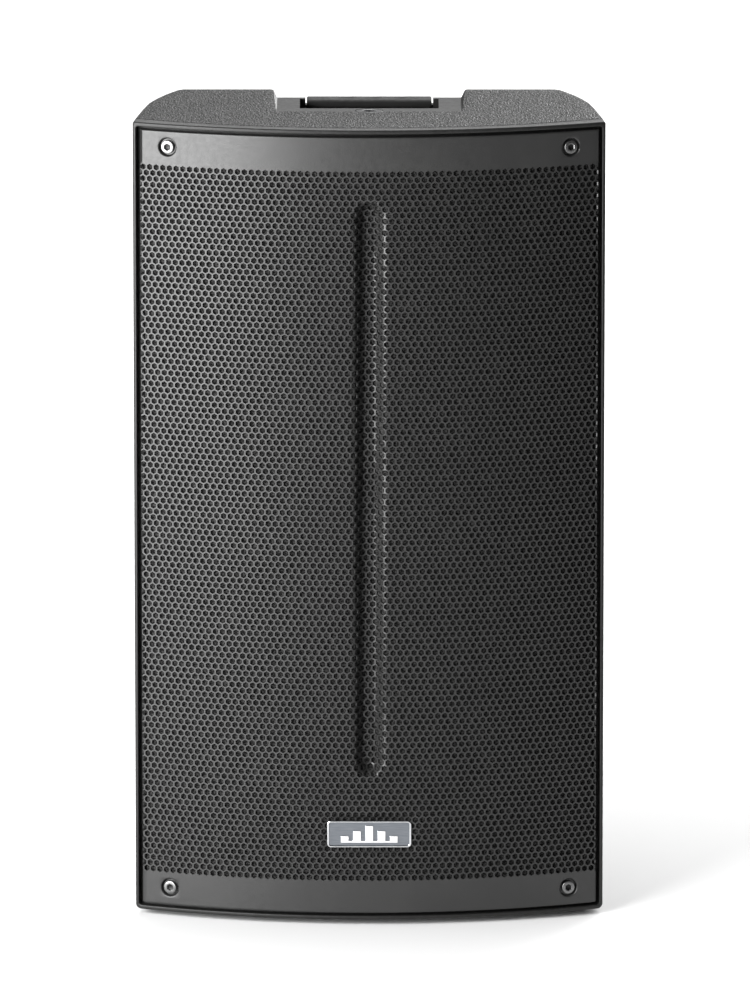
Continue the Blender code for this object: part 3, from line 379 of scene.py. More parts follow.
class Look:
    """A Principled material, with helpers that add procedural detail to it."""

    def __init__(self, name, colour, roughness, metallic=0.0, **sockets):
        self.material = bpy.data.materials.new(name)
        self.material.use_nodes = True
        self.tree = self.material.node_tree
        self.shader = self.tree.nodes["Principled BSDF"]
        sockets.update(Base_Color=(*colour, 1), Roughness=roughness, Metallic=metallic)
        for socket, value in sockets.items():
            self.shader.inputs[socket.replace("_", " ")].default_value = value
        self.place = self.tree.nodes.new("ShaderNodeTexCoord").outputs["Object"]

    def node(self, kind, **inputs):
        """A new node. Each input is a value or another node's output."""
        made = self.tree.nodes.new(kind)
        for name, value in inputs.items():
            socket = made.inputs[name.replace("_", " ")]
            if isinstance(value, bpy.types.NodeSocket):
                self.tree.links.new(value, socket)
            else:
                socket.default_value = value
        return made

    def noise(self, size, detail=2.0, rough=0.5, scale=None, distortion=0.0):
        """Noise whose lumps are about size metres across."""
        place = self.place
        if scale:
            place = self.node("ShaderNodeMapping", Scale=scale, Vector=place).outputs["Vector"]
        values = {"Scale": 1 / size, "Detail": detail, "Roughness": rough, "Distortion": distortion}
        return self.node("ShaderNodeTexNoise", Vector=place, **values).outputs["Fac"]

    def cells(self, size):
        return self.node("ShaderNodeTexVoronoi", Scale=1 / size, Vector=self.place).outputs["Distance"]

    def tint(self, source, colours, start=0.3, end=0.7):
        """Colours the surface between two colours by a texture."""
        made = self.node("ShaderNodeValToRGB", Fac=source)
        for element, position, colour in zip(made.color_ramp.elements, (start, end), colours):
            element.position = position
            element.color = (*colour, 1)
        self.tree.links.new(made.outputs["Color"], self.shader.inputs["Base Color"])

    def rough(self, source, low, high, start=0.3, end=0.7):
        """Takes the roughness from low to high as a texture goes from start to end."""
        span = {"From_Min": start, "From_Max": end, "To_Min": low, "To_Max": high}
        made = self.node("ShaderNodeMapRange", Value=source, **span)
        self.tree.links.new(made.outputs["Result"], self.shader.inputs["Roughness"])

    def bump(self, *layers):
        """Stacks (texture, height in metres) layers of relief."""
        below = {}
        for source, height in layers:
            made = self.node("ShaderNodeBump", Strength=1.0, Distance=height, Height=source, **below)
            below = {"Normal": made.outputs["Normal"]}
        self.tree.links.new(made.outputs["Normal"], self.shader.inputs["Normal"])


def grey(level, blue=None):
    return (level, level, level if blue is None else blue)


def finish(name, colour, roughness, tint, rough=None, relief=None, metallic=0.0, **sockets):
    """A material whose colour, roughness and relief each follow a noise of a (size, detail, ...)."""
    look = Look(name, colour, roughness, metallic, **sockets)
    size, detail, dark, light = tint
    look.tint(look.noise(size, detail), (dark, light))
    if rough:
        size, detail, low, high = rough
        look.rough(look.noise(size, detail), low, high)
    if relief:
        size, detail, height = relief
        look.bump((look.noise(size, detail), height))
    return look.material


def plastic(name, level, roughness, tint, rough, relief, shine):
    return finish(name, grey(level), roughness, tint, rough, relief, Specular_IOR_Level=shine)


def metal(name, colour, roughness, tint, rough=None, relief=None):
    return finish(name, colour, roughness, tint, rough, relief, 1.0)


def powder_coat(name, level, rough):
    tint = (0.05, 3.0, grey(0.9 * level), grey(1.15 * level, 0.98 * 1.15 * level))
    return plastic(name, level, 0.42, tint, (0.004, 3.0, *rough), (0.0011, 2.0, 0.00006), 0.5)


def lens(name, colour):
    tint = (0.0008, 2.0, tuple(0.8 * c for c in colour), colour)
    return finish(name, colour, 0.18, tint, Specular_IOR_Level=0.6, Coat_Weight=0.5)


def drawn_metal(name, colour, roughness, metallic, marks, colours, rough):
    """Metal with fine marks in one direction, seen in its colour and its roughness."""
    look = Look(name, colour, roughness, metallic)
    size, scale = marks
    lines = look.noise(size, 2.0, scale=scale)
    look.tint(lines, colours)
    look.rough(lines, *rough)
    return look.material


def grained_plastic():
    """Moulded grain whose lumps are drawn out along the depth."""
    look = Look("grained_plastic", grey(0.012), 0.55, Specular_IOR_Level=0.24)
    drawn_out = (1.0, 0.3, 1.0)
    grain = look.noise(0.0017, 2.0, 0.6, scale=drawn_out)
    look.tint(grain, (grey(0.004), (0.026, 0.0255, 0.025)), 0.40, 0.62)
    look.rough(look.noise(0.0016, 2.0, scale=drawn_out), 0.38, 0.74)
    look.bump((grain, 0.0016), (look.noise(0.0009, 1.0), 0.0003))
    return look.material


def open_foam():
    look = Look("open_foam", grey(0.008), 0.95, Specular_IOR_Level=0.12)
    cells = look.cells(0.0016)
    look.tint(cells, (grey(0.003), (0.036, 0.0355, 0.035)), 0.3, 0.8)
    look.bump((cells, 0.0008), (look.noise(0.004, 2.0), 0.0006))
    return look.material


def cone_paper():
    look = Look("cone_paper", (0.035, 0.033, 0.030), 0.88, Specular_IOR_Level=0.25)
    fibres = look.noise(0.0025, 5.0, 0.7, distortion=1.5)
    look.tint(fibres, ((0.024, 0.023, 0.021), (0.050, 0.047, 0.043)))
    look.bump((fibres, 0.0003))
    return look.material


def circuit_board():
    look = Look("circuit_board", (0.03, 0.14, 0.07), 0.45)
    look.tint(look.cells(0.006), ((0.015, 0.085, 0.040), (0.045, 0.19, 0.095)), 0.2, 0.8)
    look.rough(look.noise(0.003, 2.0), 0.35, 0.55)
    return look.material


GRAINED = grained_plastic()
SMOOTH = plastic(
    "smooth_plastic", 0.014, 0.42, (0.03, 2.0, grey(0.014, 0.0137), grey(0.019, 0.0186)),
    (0.006, 3.0, 0.36, 0.48), (0.0006, 2.0, 0.00003), 0.27
)
SOFT = plastic(
    "soft_plastic", 0.009, 0.60, (0.012, 3.0, grey(0.007, 0.0068), grey(0.011, 0.0107)),
    (0.004, 3.0, 0.52, 0.68), (0.0005, 2.0, 0.00005), 0.2
)
PANEL = plastic(
    "panel_plastic", 0.022, 0.38, (0.02, 2.0, grey(0.019), grey(0.027, 0.026)),
    (0.003, 3.0, 0.32, 0.45), (0.0004, 2.0, 0.00002), 0.5
)
LIP = plastic(
    "frame_plastic", 0.009, 0.42, (0.004, 3.0, grey(0.007, 0.0068), grey(0.012, 0.0117)),
    (0.0012, 2.0, 0.36, 0.48), (0.0009, 2.0, 0.00008), 0.28
)
COATED = powder_coat("powder_coat", 0.014, (0.36, 0.44))
PANEL_COAT = powder_coat("panel_coat", 0.018, (0.44, 0.56))
FOAM = open_foam()
PLATED = metal(
    "plated_steel", grey(0.17), 0.32, (0.004, 3.0, grey(0.14, 0.143), grey(0.20, 0.197)),
    (0.0012, 3.0, 0.26, 0.40), (0.0003, 2.0, 0.00001)
)
# Painted shade: the hexagon sockets of the grille screws are the plated head's own steel, darkened here to
# stand in for the shade in the recess
SHADED_SOCKET = metal("socket_painted_shade", grey(0.03), 0.5, (0.001, 2.0, grey(0.018), grey(0.042)))
BLACK_ZINC = metal(
    "black_zinc", grey(0.07, 0.072), 0.34, (0.003, 3.0, grey(0.05, 0.052), grey(0.09, 0.092)),
    (0.0012, 3.0, 0.26, 0.44)
)
RIM = metal(
    "badge_rim", (0.62, 0.63, 0.65), 0.20, (0.01, 2.0, (0.58, 0.59, 0.61), (0.68, 0.69, 0.70)),
    (0.002, 3.0, 0.10, 0.20)
)
FACE = drawn_metal(
    "badge_face", (0.19, 0.205, 0.225), 0.35, 0.85, (0.0006, (0.05, 1.0, 1.0)),
    ((0.140, 0.151, 0.167), (0.183, 0.196, 0.214)), (0.30, 0.42)
)
EMBLEM = metal(
    "emblem_metal", (0.88, 0.89, 0.90), 0.16, (0.006, 2.0, (0.84, 0.85, 0.86), (0.92, 0.92, 0.93)),
    (0.0015, 2.0, 0.12, 0.22)
)
RUBBER = plastic(
    "foot_rubber", 0.022, 0.85, (0.006, 3.0, grey(0.017), grey(0.030, 0.029)),
    None, (0.0008, 3.0, 0.00012), 0.3
)
PAPER = cone_paper()
FERRITE = finish(
    "ferrite", (0.06, 0.058, 0.06), 0.72, (0.003, 4.0, (0.045, 0.043, 0.045), (0.080, 0.078, 0.079)),
    None, (0.0007, 3.0, 0.0001), Specular_IOR_Level=0.4
)
CAST = metal(
    "cast_aluminium", (0.56, 0.57, 0.58), 0.42, (0.01, 4.0, (0.46, 0.47, 0.48), (0.64, 0.65, 0.66)),
    (0.002, 3.0, 0.34, 0.52), (0.0008, 3.0, 0.00006)
)
ANODISED = drawn_metal(
    "black_anodised", grey(0.05, 0.052), 0.38, 0.9, (0.0008, (1.0, 1.0, 0.03)),
    (grey(0.035, 0.037), grey(0.070, 0.073)), (0.30, 0.44)
)
BOARD = circuit_board()
GREEN_LENS = lens("green_lens", (0.10, 0.60, 0.15))
RED_LENS = lens("red_lens", (0.55, 0.05, 0.03))
RED = finish(
    "red_plastic", (0.42, 0.03, 0.025), 0.32, (0.006, 2.0, (0.36, 0.024, 0.02), (0.48, 0.036, 0.03)),
    (0.002, 2.0, 0.26, 0.40)
)
PRINT = finish("panel_print", grey(0.72, 0.70), 0.60, (0.004, 2.0, grey(0.62, 0.60), grey(0.78, 0.76)))

SLOT_LOOKS = {
    "moulded_plastic": GRAINED,
    "panel_plastic": PANEL,
    "soft_plastic": SOFT,
    "grille_steel": COATED,
    "foam": FOAM,
    "black_steel": PANEL_COAT,
    "heatsink_aluminium": ANODISED,
    "plated_steel": PLATED,
    "badge_metal": RIM,
    "emblem_metal": EMBLEM,
    "foot_rubber": RUBBER,
    "cone_paper": PAPER,
    "ferrite": FERRITE,
    "bare_aluminium": CAST,
    "circuit_board": BOARD,
    "lamp_lens": GREEN_LENS,
    "red_plastic": RED,
}


# Camera, light and floor


def make_camera():
    """A long lens, a little above the cabinet, square to its front."""
    lens_length, distance, height, pitch = 436.9, 10.36, 2.681, 12.50
    camera = bpy.data.cameras.new("camera")
    camera.lens = lens_length
    camera.clip_end = 60
    view = piece("camera", camera)
    view.location = (0.0051, at(-distance), height)
    view.rotation_euler = (math.radians(90 - pitch), 0, 0)
    bpy.context.scene.camera = view


def area_light(name, place, aim, size, power):
    light = bpy.data.lights.new(name, "AREA")
    light.shape = "RECTANGLE"
    light.size, light.size_y = size
    light.energy = power
    lamp = piece(name, light)
    lamp.location = place
    lamp.rotation_euler = (Vector(aim) - Vector(place)).to_track_quat("-Z", "Y").to_euler()


def make_studio():
    scene = bpy.context.scene
    scene.view_settings.view_transform = "Standard"
    world = bpy.data.worlds.new("studio")
    world.use_nodes = True
    world.node_tree.nodes["Background"].inputs["Color"].default_value = (1.0, 1.0, 1.0, 1)
    world.node_tree.nodes["Background"].inputs["Strength"].default_value = 0.10
    scene.world = world
    floor_mesh = bpy.data.meshes.new("floor")
    reach = 14.0
    floor_mesh.from_pydata(
        [(-reach, -reach, 0), (reach, -reach, 0), (reach, reach, 0), (-reach, reach, 0)], [], [(0, 1, 2, 3)]
    )
    floor = piece("floor", floor_mesh)
    paint = (0.8, 2.0, grey(0.775), grey(0.785))
    dress(floor, finish("floor_paint", grey(0.78), 0.9, paint, Specular_IOR_Level=0.0))
    area_light("key_left", (-1.32, -1.40, 0.77), (0, -0.1, 0.5), (1.64, 1.50), 122)
    area_light("overhead", (0.8, 2.95, 3.0), (0.8, 2.95, 0), (3.6, 6.1), 250)
    area_light("right_rear", (1.9, 3.4, 1.5), (0, 0, 0.7), (1.6, 1.2), 95)


make_camera()
make_studio()


# Cabinet: rings of points round it, from the top left corner clockwise


SIDE_STEPS = 22
CORNER_STEPS = 4
OUTER_COLUMNS = 9
INNER_COLUMNS = (0.0, 0.012, 0.025, 0.040, 0.050, SEAT_HALF, SLOT_HALF, 0.070, 0.0790)
WALL_COLUMNS = (0.0, 0.15, 0.4, 0.7, 0.9, 1.0)


def top_columns(reach, wall):
    """X of the top's points, from -reach to reach, with columns for the handle's recess."""
    right = list(INNER_COLUMNS) + [RECESS_HALF + t * wall for t in WALL_COLUMNS]
    first = BLOCK_HALF
    right += [first + (reach - first) * i / OUTER_COLUMNS for i in range(OUTER_COLUMNS + 1)]
    return [-x for x in reversed(right[1:])] + right


def ring(depth_of, inset, top_of, low, radius, wall=0.0008, squeeze=None):
    """Points round the cabinet's section, where depth_of(x) gives the depth across the bow."""
    half = squeeze if squeeze else 0.2
    if not squeeze:
        for _ in range(14):
            half = half_width(depth_of(half)) - inset
    reach = half - radius
    if reach > BLOCK_HALF + 0.004:
        columns = top_columns(reach, wall)
    else:
        widest = BLOCK_HALF + 0.012
        columns = [x * reach / widest for x in top_columns(widest, wall)]
    points = [(x, depth_of(x), top_of(x, depth_of(x))) for x in columns]
    corner_high = top_of(reach, depth_of(reach)) - radius
    foot = LOW_CORNER if radius == CORNER else radius
    corner_low = low + foot
    side = [corner_high + (corner_low - corner_high) * i / SIDE_STEPS for i in range(SIDE_STEPS + 1)]
    arc = [QUARTER * i / CORNER_STEPS for i in range(1, CORNER_STEPS)]
    right = []
    for a in reversed(arc):
        x = reach + radius * math.cos(a)
        right.append((x, depth_of(x), corner_high + radius * math.sin(a)))
    right += [(half, depth_of(half), z) for z in side]
    for a in arc:
        x = half - foot + foot * math.cos(a)
        right.append((x, depth_of(x), corner_low - foot * math.sin(a)))
    shrink = (half - foot) / reach
    base = [(x * shrink, depth_of(x * shrink), low) for x in reversed(columns)]
    left = [(-x, d, z) for x, d, z in reversed(right)]
    return [(x, at(d), z) for x, d, z in points + right + base + left]


def bowed(behind):
    return lambda x: bow(x) + behind


def flat(depth):
    return lambda x: depth


def level(z):
    return lambda x, depth: z


def lowered(inset):
    return lambda x, depth: top_height(depth) - inset


def recess_floor(depth):
    return eased(RECESS, depth, 0.003)


def recess_wall(depth):
    """How far the recess's side wall leans out at a depth."""
    least, most = 0.0008, 0.0065
    if not RECESS[0][0] < depth < RECESS[-1][0]:
        return least
    drop = top_height(depth) - recess_floor(depth)
    return min(most, least + 0.45 * max(0, drop))


def shell_top(x, depth):
    """The top surface, with the handle's recess let into it."""
    height = top_height(depth)
    if not RECESS[0][0] < depth < RECESS[-1][0]:
        return height
    drop = max(0, height - recess_floor(depth))
    out = (abs(x) - RECESS_HALF) / recess_wall(depth)
    return height - drop * (1 - smooth(out))


def shell_room(x, depth):
    """The underside of the top, with the thick block round the handle's slot."""
    under = top_height(depth) - WALL
    if abs(x) < BLOCK_HALF and BLOCK_FRONT < depth < BLOCK_BACK:
        return min(under, BLOCK_LOW)
    return under


def shell_depths():
    marks = [0.078, 0.080, SLOT_FRONT, SLOT_STEP, 0.159, 0.163, 0.166, 0.169, 0.173, SLOT_BACK]
    marks += [0.0842, 0.186, 0.272, BLOCK_FRONT + 0.004, BLOCK_BACK]
    plain = [0.070 + 0.006 * i for i in range(52)]
    spare = [d for d in plain if d < 0.380 and min(abs(d - m) for m in marks) > 0.0024]
    return sorted(marks + spare)


def slot_open(x, depth):
    if SLOT_FRONT < depth < SLOT_STEP:
        return abs(x) < SLOT_HALF
    return SLOT_STEP < depth < SLOT_BACK and abs(x) < SEAT_HALF


def make_rear_shell():
    """A two-skin shell: outer rings to the back, the panel's recess, then inner rings forward."""
    start = PARTING + GAP
    depths = shell_depths()
    shares = [i / 12 for i in range(1, 12)]
    rings, tags = [], []

    def add(*args, tag=None, **named):
        rings.append(ring(*args, **named))
        tags.append(tag)

    def blend(share):
        return lambda x: (bow(x) + start + EASED_EDGE[-1][1]) * (1 - share) + depths[0] * share

    for inset, behind in EASED_EDGE:
        add(bowed(start + behind), inset, lowered(inset), LIP_LOW + inset, CORNER)
    for share in shares:
        add(blend(share), 0, lowered(0), LIP_LOW, CORNER)
    for depth in depths:
        wall = recess_wall(depth)
        add(flat(depth), 0, shell_top, LIP_LOW, CORNER, wall=wall, tag=("outer", depth))
    for k in range(1, 5):
        turn = QUARTER * k / 4
        inset = CORNER * (1 - math.cos(turn))
        depth = DEPTH - CORNER + CORNER * math.sin(turn)
        half = half_width(depth) - inset
        add(flat(depth), 0, level(BACK_TOP + 0.0012 - inset), LIP_LOW + inset, CORNER, squeeze=half)
    recess = ((0.0020, DEPTH), (0.0014, DEPTH - 0.0002), (0.0011, DEPTH - 0.0010), (0.0007, AMP_LEDGE))
    for grow, depth in recess:
        high, low = level(AMP_Z + AMP_HALF_Z + grow), AMP_Z - AMP_HALF_Z - grow
        add(flat(depth), 0, high, low, PANEL_CORNER + grow, squeeze=AMP_HALF_X + grow)
    for depth in (AMP_LEDGE, AMP_LEDGE - WALL):
        high, low = level(AMP_Z + OPENING_Z), AMP_Z - OPENING_Z
        add(flat(depth), 0, high, low, PANEL_CORNER, squeeze=OPENING_X)
    for depth in reversed([d for d in depths if d < AMP_LEDGE - WALL - 0.001]):
        add(flat(depth), WALL, shell_room, LIP_LOW + WALL, CORNER, tag=("inner", depth))
    for share in reversed(shares):
        add(blend(share), WALL, lowered(WALL), LIP_LOW + WALL, CORNER)
    add(bowed(start), WALL, lowered(WALL), LIP_LOW + WALL, CORNER)

    around = len(rings[0])
    top_count = (around - 2 * (SIDE_STEPS + 1) - 4 * (CORNER_STEPS - 1)) // 2
    holes = set()
    for i, (near, far) in enumerate(zip(tags, tags[1:])):
        if not near or not far or near[0] != far[0]:
            continue
        depth = (near[1] + far[1]) / 2
        for j in range(top_count - 1):
            x = (rings[i][j][0] + rings[i][j + 1][0]) / 2
            if slot_open(x, depth):
                holes.add((i, j))
    shell = skin("rear_shell_skin", rings, True, holes)
    bridge_slot(shell)
    return shell


def bridge_slot(shell):
    """Closes the slot's walls between the recess floor and the underside of the block."""
    shape = bmesh.new()
    shape.from_mesh(shell.data)
    bmesh.ops.bridge_loops(shape, edges=[e for e in shape.edges if e.is_boundary])
    bmesh.ops.recalc_face_normals(shape, faces=shape.faces)
    seal(shape, shell.data)


def insert_place(node):
    """The plane of a rigging insert's face: the recess's slope for the top one, the back for the other."""
    if node == "top_rigging_insert":
        (near, high), (far, low) = RECESS[:2]
        tilt = math.atan((low - high) / (far - near))
        return stand((0, at(INSERT_DEPTH), along(RECESS, INSERT_DEPTH)), (tilt, 0, 0))
    return stand((0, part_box(node)[1].y, middle(node).z), FACE_BACK)


def finish_shell():
    """Cuts the seats of the inserts, the pole's hole and the grip's pockets, and smooths the recess."""
    shell = make_rear_shell()
    wide, narrow, ledge, end = 0.0123, 0.0083, -0.0018, -0.022
    seat = [(0, 0.01), (wide, 0.01), (wide, ledge), (narrow, ledge), (narrow, end), (0, end)]
    tools = [turned("insert_seat", seat, insert_place(node)) for node in INSERTS]
    pole, radius, reach = middle("pole_socket"), 0.0310, 0.01
    profile = [(0, 2 * reach), (radius, 2 * reach), (radius, -reach), (0, -reach)]
    tools.append(turned("pole_hole", profile, stand((0, pole.y, 0))))
    low, high = BLOCK_LOW - 0.02, TENON_TOP + GAP
    pocket = rectangle(0, (low + high) / 2, TENON_HALF + GAP, (high - low) / 2, 0.0006, 2)
    tools.append(slab("tenon_pockets", [pocket], TENON_FRONT - GAP, TENON_BACK + GAP))
    combine(shell, tools)
    dress(shell, GRAINED, SMOOTH)
    recess_low, recess_high = 0.0778, RECESS[-1][0]
    for face in shell.data.polygons:
        spot = face.center
        depth = spot.y - FRONT
        inside = abs(spot.x) < RECESS_HALF + 0.004 and recess_low < depth < recess_high
        if inside and BLOCK_LOW - 0.01 < spot.z < top_height(depth) - 0.0003:
            face.material_index = 1
    install(shell, "rear_shell")


def make_front_frame():
    """The bowed lip, its grille pocket and sleeve, closed in section, with the drivers' board."""
    rings = []
    step = WALL + GAP
    inner = step + SLEEVE

    def add(depth_of, side, top, radius=0.0025):
        rings.append(ring(depth_of, side, level(LIP_HIGH - top), LIP_LOW + top, radius))

    for inset, ahead in EASED_EDGE:
        rings.append(ring(bowed(PARTING - ahead), inset, lowered(inset), LIP_LOW + inset, CORNER))
    outer, edge = 0.0016, 0.0007
    for k in range(6):
        turn = QUARTER * k / 5
        inset = outer * (1 - math.cos(turn))
        add(bowed(outer * (1 - math.sin(turn))), inset, inset, CORNER)
    for k in range(4):
        turn = QUARTER * k / 3
        out = edge * (1 - math.sin(turn))
        add(bowed(edge * (1 - math.cos(turn))), LIP_SIDE - out, LIP_TOP - out)
    back = BOARD_FACE + BOARD_THICK
    add(bowed(POCKET), LIP_SIDE, LIP_TOP)
    add(bowed(POCKET), inner, inner)
    add(flat(back), inner, inner)
    add(flat(back), step, step)
    add(bowed(PARTING), step, step)
    frame_skin = dress(skin("front_frame", rings, True), LIP)
    fit = inner + 0.0001
    low, high = LIP_LOW + fit, LIP_HIGH - fit
    woofer, horn, mouth = middle("woofer_surround"), middle("horn_waveguide"), half_size("horn_waveguide")
    outlines = [rectangle(0, (low + high) / 2, half_width(BOARD_FACE) - fit, (high - low) / 2, 0.003)]
    outlines.append(circle(woofer.x, woofer.z, 0.1783, 96))
    outlines.append(rectangle(horn.x, horn.z, mouth.x - 0.006, mouth.z - 0.006, 0.030, 8))
    for port in (middle("port_tube_left"), middle("port_tube_right")):
        outlines.append(circle(port.x, port.z, 0.0353, 64))
    merge(frame_skin, dress(slab("board", outlines, BOARD_FACE, back), LIP))
    install(frame_skin, "front_baffle")


# Grille: drawn flat in (arc, height), pressed, then rolled onto the bow


BEND_ARC = BOW_RADIUS * math.asin((FOLD_X - FOLD_BEND * (1 - FOLD_X / BOW_RADIUS)) / BOW_RADIUS)
BEND_TURN = QUARTER - BEND_ARC / BOW_RADIUS
FLAT_HALF = BEND_ARC + FOLD_BEND * BEND_TURN + FOLD_LENGTH


def rolled(arc, behind, height):
    """World point of a flat one: arc along the bow, then round the side fold; behind is inwards."""
    side = math.copysign(1, arc)
    past = abs(arc) - BEND_ARC
    angle = min(abs(arc), BEND_ARC) / BOW_RADIUS
    x = BOW_RADIUS * math.sin(angle)
    depth = BOW_RADIUS * (1 - math.cos(angle))
    if past > 0:
        turn = min(past / FOLD_BEND, BEND_TURN)
        x += FOLD_BEND * (math.sin(angle + turn) - math.sin(angle))
        depth += FOLD_BEND * (math.cos(angle) - math.cos(angle + turn))
        depth += max(0, past - FOLD_BEND * BEND_TURN)
        angle += turn
    x -= behind * math.sin(angle)
    depth += behind * math.cos(angle)
    return Vector((side * x, at(depth), height))


def pressed(arc, height):
    """How far the groove and the badge's pocket are pressed in at a flat point."""
    above = max(0, height - (GROOVE_TOP - GROOVE_HALF), (GROOVE_FOOT + GROOVE_HALF) - height)
    reach = math.hypot(arc, above)
    deep = GROOVE_DEPTH * smooth((GROOVE_HALF - reach) / (GROOVE_HALF - GROOVE_FLOOR))
    edge = min(BADGE_POCKET[0] - abs(arc), BADGE_POCKET[1] - abs(height - BADGE_Z))
    if edge > 0:
        deep = max(deep, max(0, BADGE_FLOOR - bow(arc)) * smooth(edge / 0.002))
    return deep


def hole_centre(row, column):
    height = FIRST_ROW - row * ROW
    arc = FIRST_HOLE + (column + 0.5 * (row % 2)) * PITCH + LEAN * (height - FIRST_ROW)
    return arc, height


def lattice():
    """Webs between hexagonal holes: a quad for each pair of facing flats, a triangle at each joint."""
    shape = bmesh.new()
    corners = {}
    radius = HOLE / math.sqrt(3)
    for row in range(-1, ROWS + 1):
        for column in range(-6, 76):
            arc, height = hole_centre(row, column)
            if abs(arc) > FLAT_HALF + PITCH:
                continue
            spots = []
            for k in range(6):
                angle = math.radians(30 + 60 * k)
                spot = (arc + radius * math.cos(angle), 0, height + radius * math.sin(angle))
                spots.append(shape.verts.new(spot))
            corners[row, column] = spots
    for (row, column), own in corners.items():
        shift = row % 2
        right = corners.get((row, column + 1))
        upper_right = corners.get((row - 1, column + shift))
        upper_left = corners.get((row - 1, column + shift - 1))
        if row in (-1, ROWS):
            shape.faces.new(own)
        if right:
            shape.faces.new((own[0], own[5], right[3], right[2]))
        if upper_right:
            shape.faces.new((own[1], own[0], upper_right[4], upper_right[3]))
        if upper_left:
            shape.faces.new((own[2], own[1], upper_left[5], upper_left[4]))
        if upper_right and upper_left:
            shape.faces.new((own[1], upper_right[3], upper_left[5]))
        if upper_right and right:
            shape.faces.new((own[0], right[2], upper_right[4]))
    return shape


def trim(shape, co, no):
    everything = shape.verts[:] + shape.edges[:] + shape.faces[:]
    bmesh.ops.bisect_plane(shape, geom=everything, plane_co=co, plane_no=no, clear_outer=True)


def grow_band(shape, start, end):
    """Carries the lattice's straight edge on to the sheet's end, then folds it back."""
    steps, radius, fold = 14, 0.0009, 0.0050
    heights = [start + (end - start) * i / steps for i in range(1, steps + 1)]
    way = math.copysign(1, end - start)
    targets = [(h, 0) for h in heights[:-1]] + [(end - way * radius, 0)]
    for k in range(1, 4):
        turn = QUARTER * k / 3
        targets.append((end - way * radius * (1 - math.sin(turn)), radius * (1 - math.cos(turn))))
    targets.append((end, fold))
    line = [e for e in shape.edges if e.is_boundary and all(abs(v.co.z - start) < 0.00002 for v in e.verts)]
    for height, behind in targets:
        grown = bmesh.ops.extrude_edge_only(shape, edges=line)["geom"]
        line = [g for g in grown if isinstance(g, bmesh.types.BMEdge)]
        for point in {v for e in line for v in e.verts}:
            point.co.z = height
            point.co.y = behind


def press_dimple(shape, arc, height):
    """Cuts a square out of the band and fills it with a round dimple for a screw's head."""
    reach = 0.0095
    gone = []
    for face in shape.faces:
        spot = face.calc_center_median()
        if abs(spot.x - arc) < reach and abs(spot.z - height) < reach and spot.y < 0.00001:
            gone.append(face)
    inside = set(gone)
    rim = [e for e in shape.edges if 0 < sum(f in inside for f in e.link_faces) < len(e.link_faces)]
    bmesh.ops.delete(shape, geom=gone, context="FACES")
    profile = ((0.0090, 0.0), (0.0086, 0.0001), (0.0082, 0.0004), (0.0079, 0.0010), (0.0076, 0.0020))
    profile += ((0.0074, 0.0031), (0.0071, DIMPLE), (0.0034, DIMPLE))
    loops = []
    for radius, behind in profile:
        points = [shape.verts.new((arc + u, behind, height + v)) for u, v in circle(0, 0, radius)]
        loops.append(points)
    count = len(loops[0])
    for near_loop, far_loop in zip(loops, loops[1:]):
        for k in range(count):
            n = (k + 1) % count
            shape.faces.new((near_loop[k], near_loop[n], far_loop[n], far_loop[k]))
    circle_edges = [shape.edges.get((loops[0][k], loops[0][(k + 1) % count])) for k in range(count)]
    bmesh.ops.triangle_fill(shape, use_beauty=True, edges=rim + circle_edges)


def screw_places():
    """Arc and height of the four screws."""
    arc = BOW_RADIUS * math.asin(SCREW_X / BOW_RADIUS)
    return [(side * arc, height) for height in SCREW_ROWS for side in (-1, 1)]


def make_grille():
    shape = lattice()
    top_line, foot_line = FIRST_ROW + ROW, FIRST_ROW - ROWS * ROW
    trim(shape, (0, 0, top_line), (0, 0, 1))
    trim(shape, (0, 0, foot_line), (0, 0, -1))
    trim(shape, (FLAT_HALF, 0, 0), (1, 0, 0))
    trim(shape, (-FLAT_HALF, 0, 0), (-1, 0, 0))
    grow_band(shape, top_line, GRILLE_HIGH)
    grow_band(shape, foot_line, GRILLE_LOW)
    for arc, height in screw_places():
        press_dimple(shape, arc, height)
    bmesh.ops.recalc_face_normals(shape, faces=shape.faces)
    for point in shape.verts:
        arc, behind, height = point.co
        point.co = rolled(arc, behind + pressed(arc, height), height)
    shape.normal_update()
    if sum(f.normal.y * f.calc_area() for f in shape.faces) > 0:
        bmesh.ops.reverse_faces(shape, faces=shape.faces)
    grille = piece_of("perforated_grille", shape)
    step = grille.modifiers.new("thickness", "SOLIDIFY")
    step.thickness = SHEET
    step.offset = -1
    install(settle(grille), "grille")


def make_foam():
    """A thin foam sheet that follows the grille's back, with holes for the screws."""
    clear, thick, half = 0.0016, 0.004, 0.2020
    low, high = GRILLE_LOW + 0.004, GRILLE_HIGH - 0.004
    columns, rows = 96, 150
    arcs = [half * (2 * i / columns - 1) for i in range(columns + 1)]
    heights = [low + (high - low) * j / rows for j in range(rows + 1)]
    shape = bmesh.new()
    for behind in (SHEET + clear - GAP, SHEET + clear + thick):
        grid = []
        for height in heights:
            points = [rolled(a, behind + pressed(a, height), height) for a in arcs]
            grid.append([shape.verts.new(p) for p in points])
        for a, b in zip(grid, grid[1:]):
            for i in range(columns):
                shape.faces.new((a[i], a[i + 1], b[i + 1], b[i]))
    bmesh.ops.bridge_loops(shape, edges=[e for e in shape.edges if e.is_boundary])
    close_up(shape)
    foam = piece_of("foam_sheet", shape)
    hole, front, back = 0.0098, 0.02, -0.03
    profile = [(0, front), (hole, front), (hole, back), (0, back)]
    spots = [rolled(arc, 0, height) for arc, height in screw_places()]
    combine(foam, [turned("foam_hole", profile, screw_stand(spot)) for spot in spots])
    install(foam, "grille_foam")


def screw_stand(spot):
    """A screw's own frame, with local Z out of the bow."""
    return stand(spot, (QUARTER, 0, math.asin(spot.x / BOW_RADIUS)))


def hexagon(flat_radius, angle):
    """Radius at an angle of a hexagon whose flats are that far out."""
    turn = (angle + math.pi / 6) % (math.pi / 3) - math.pi / 6
    return flat_radius / math.cos(turn)


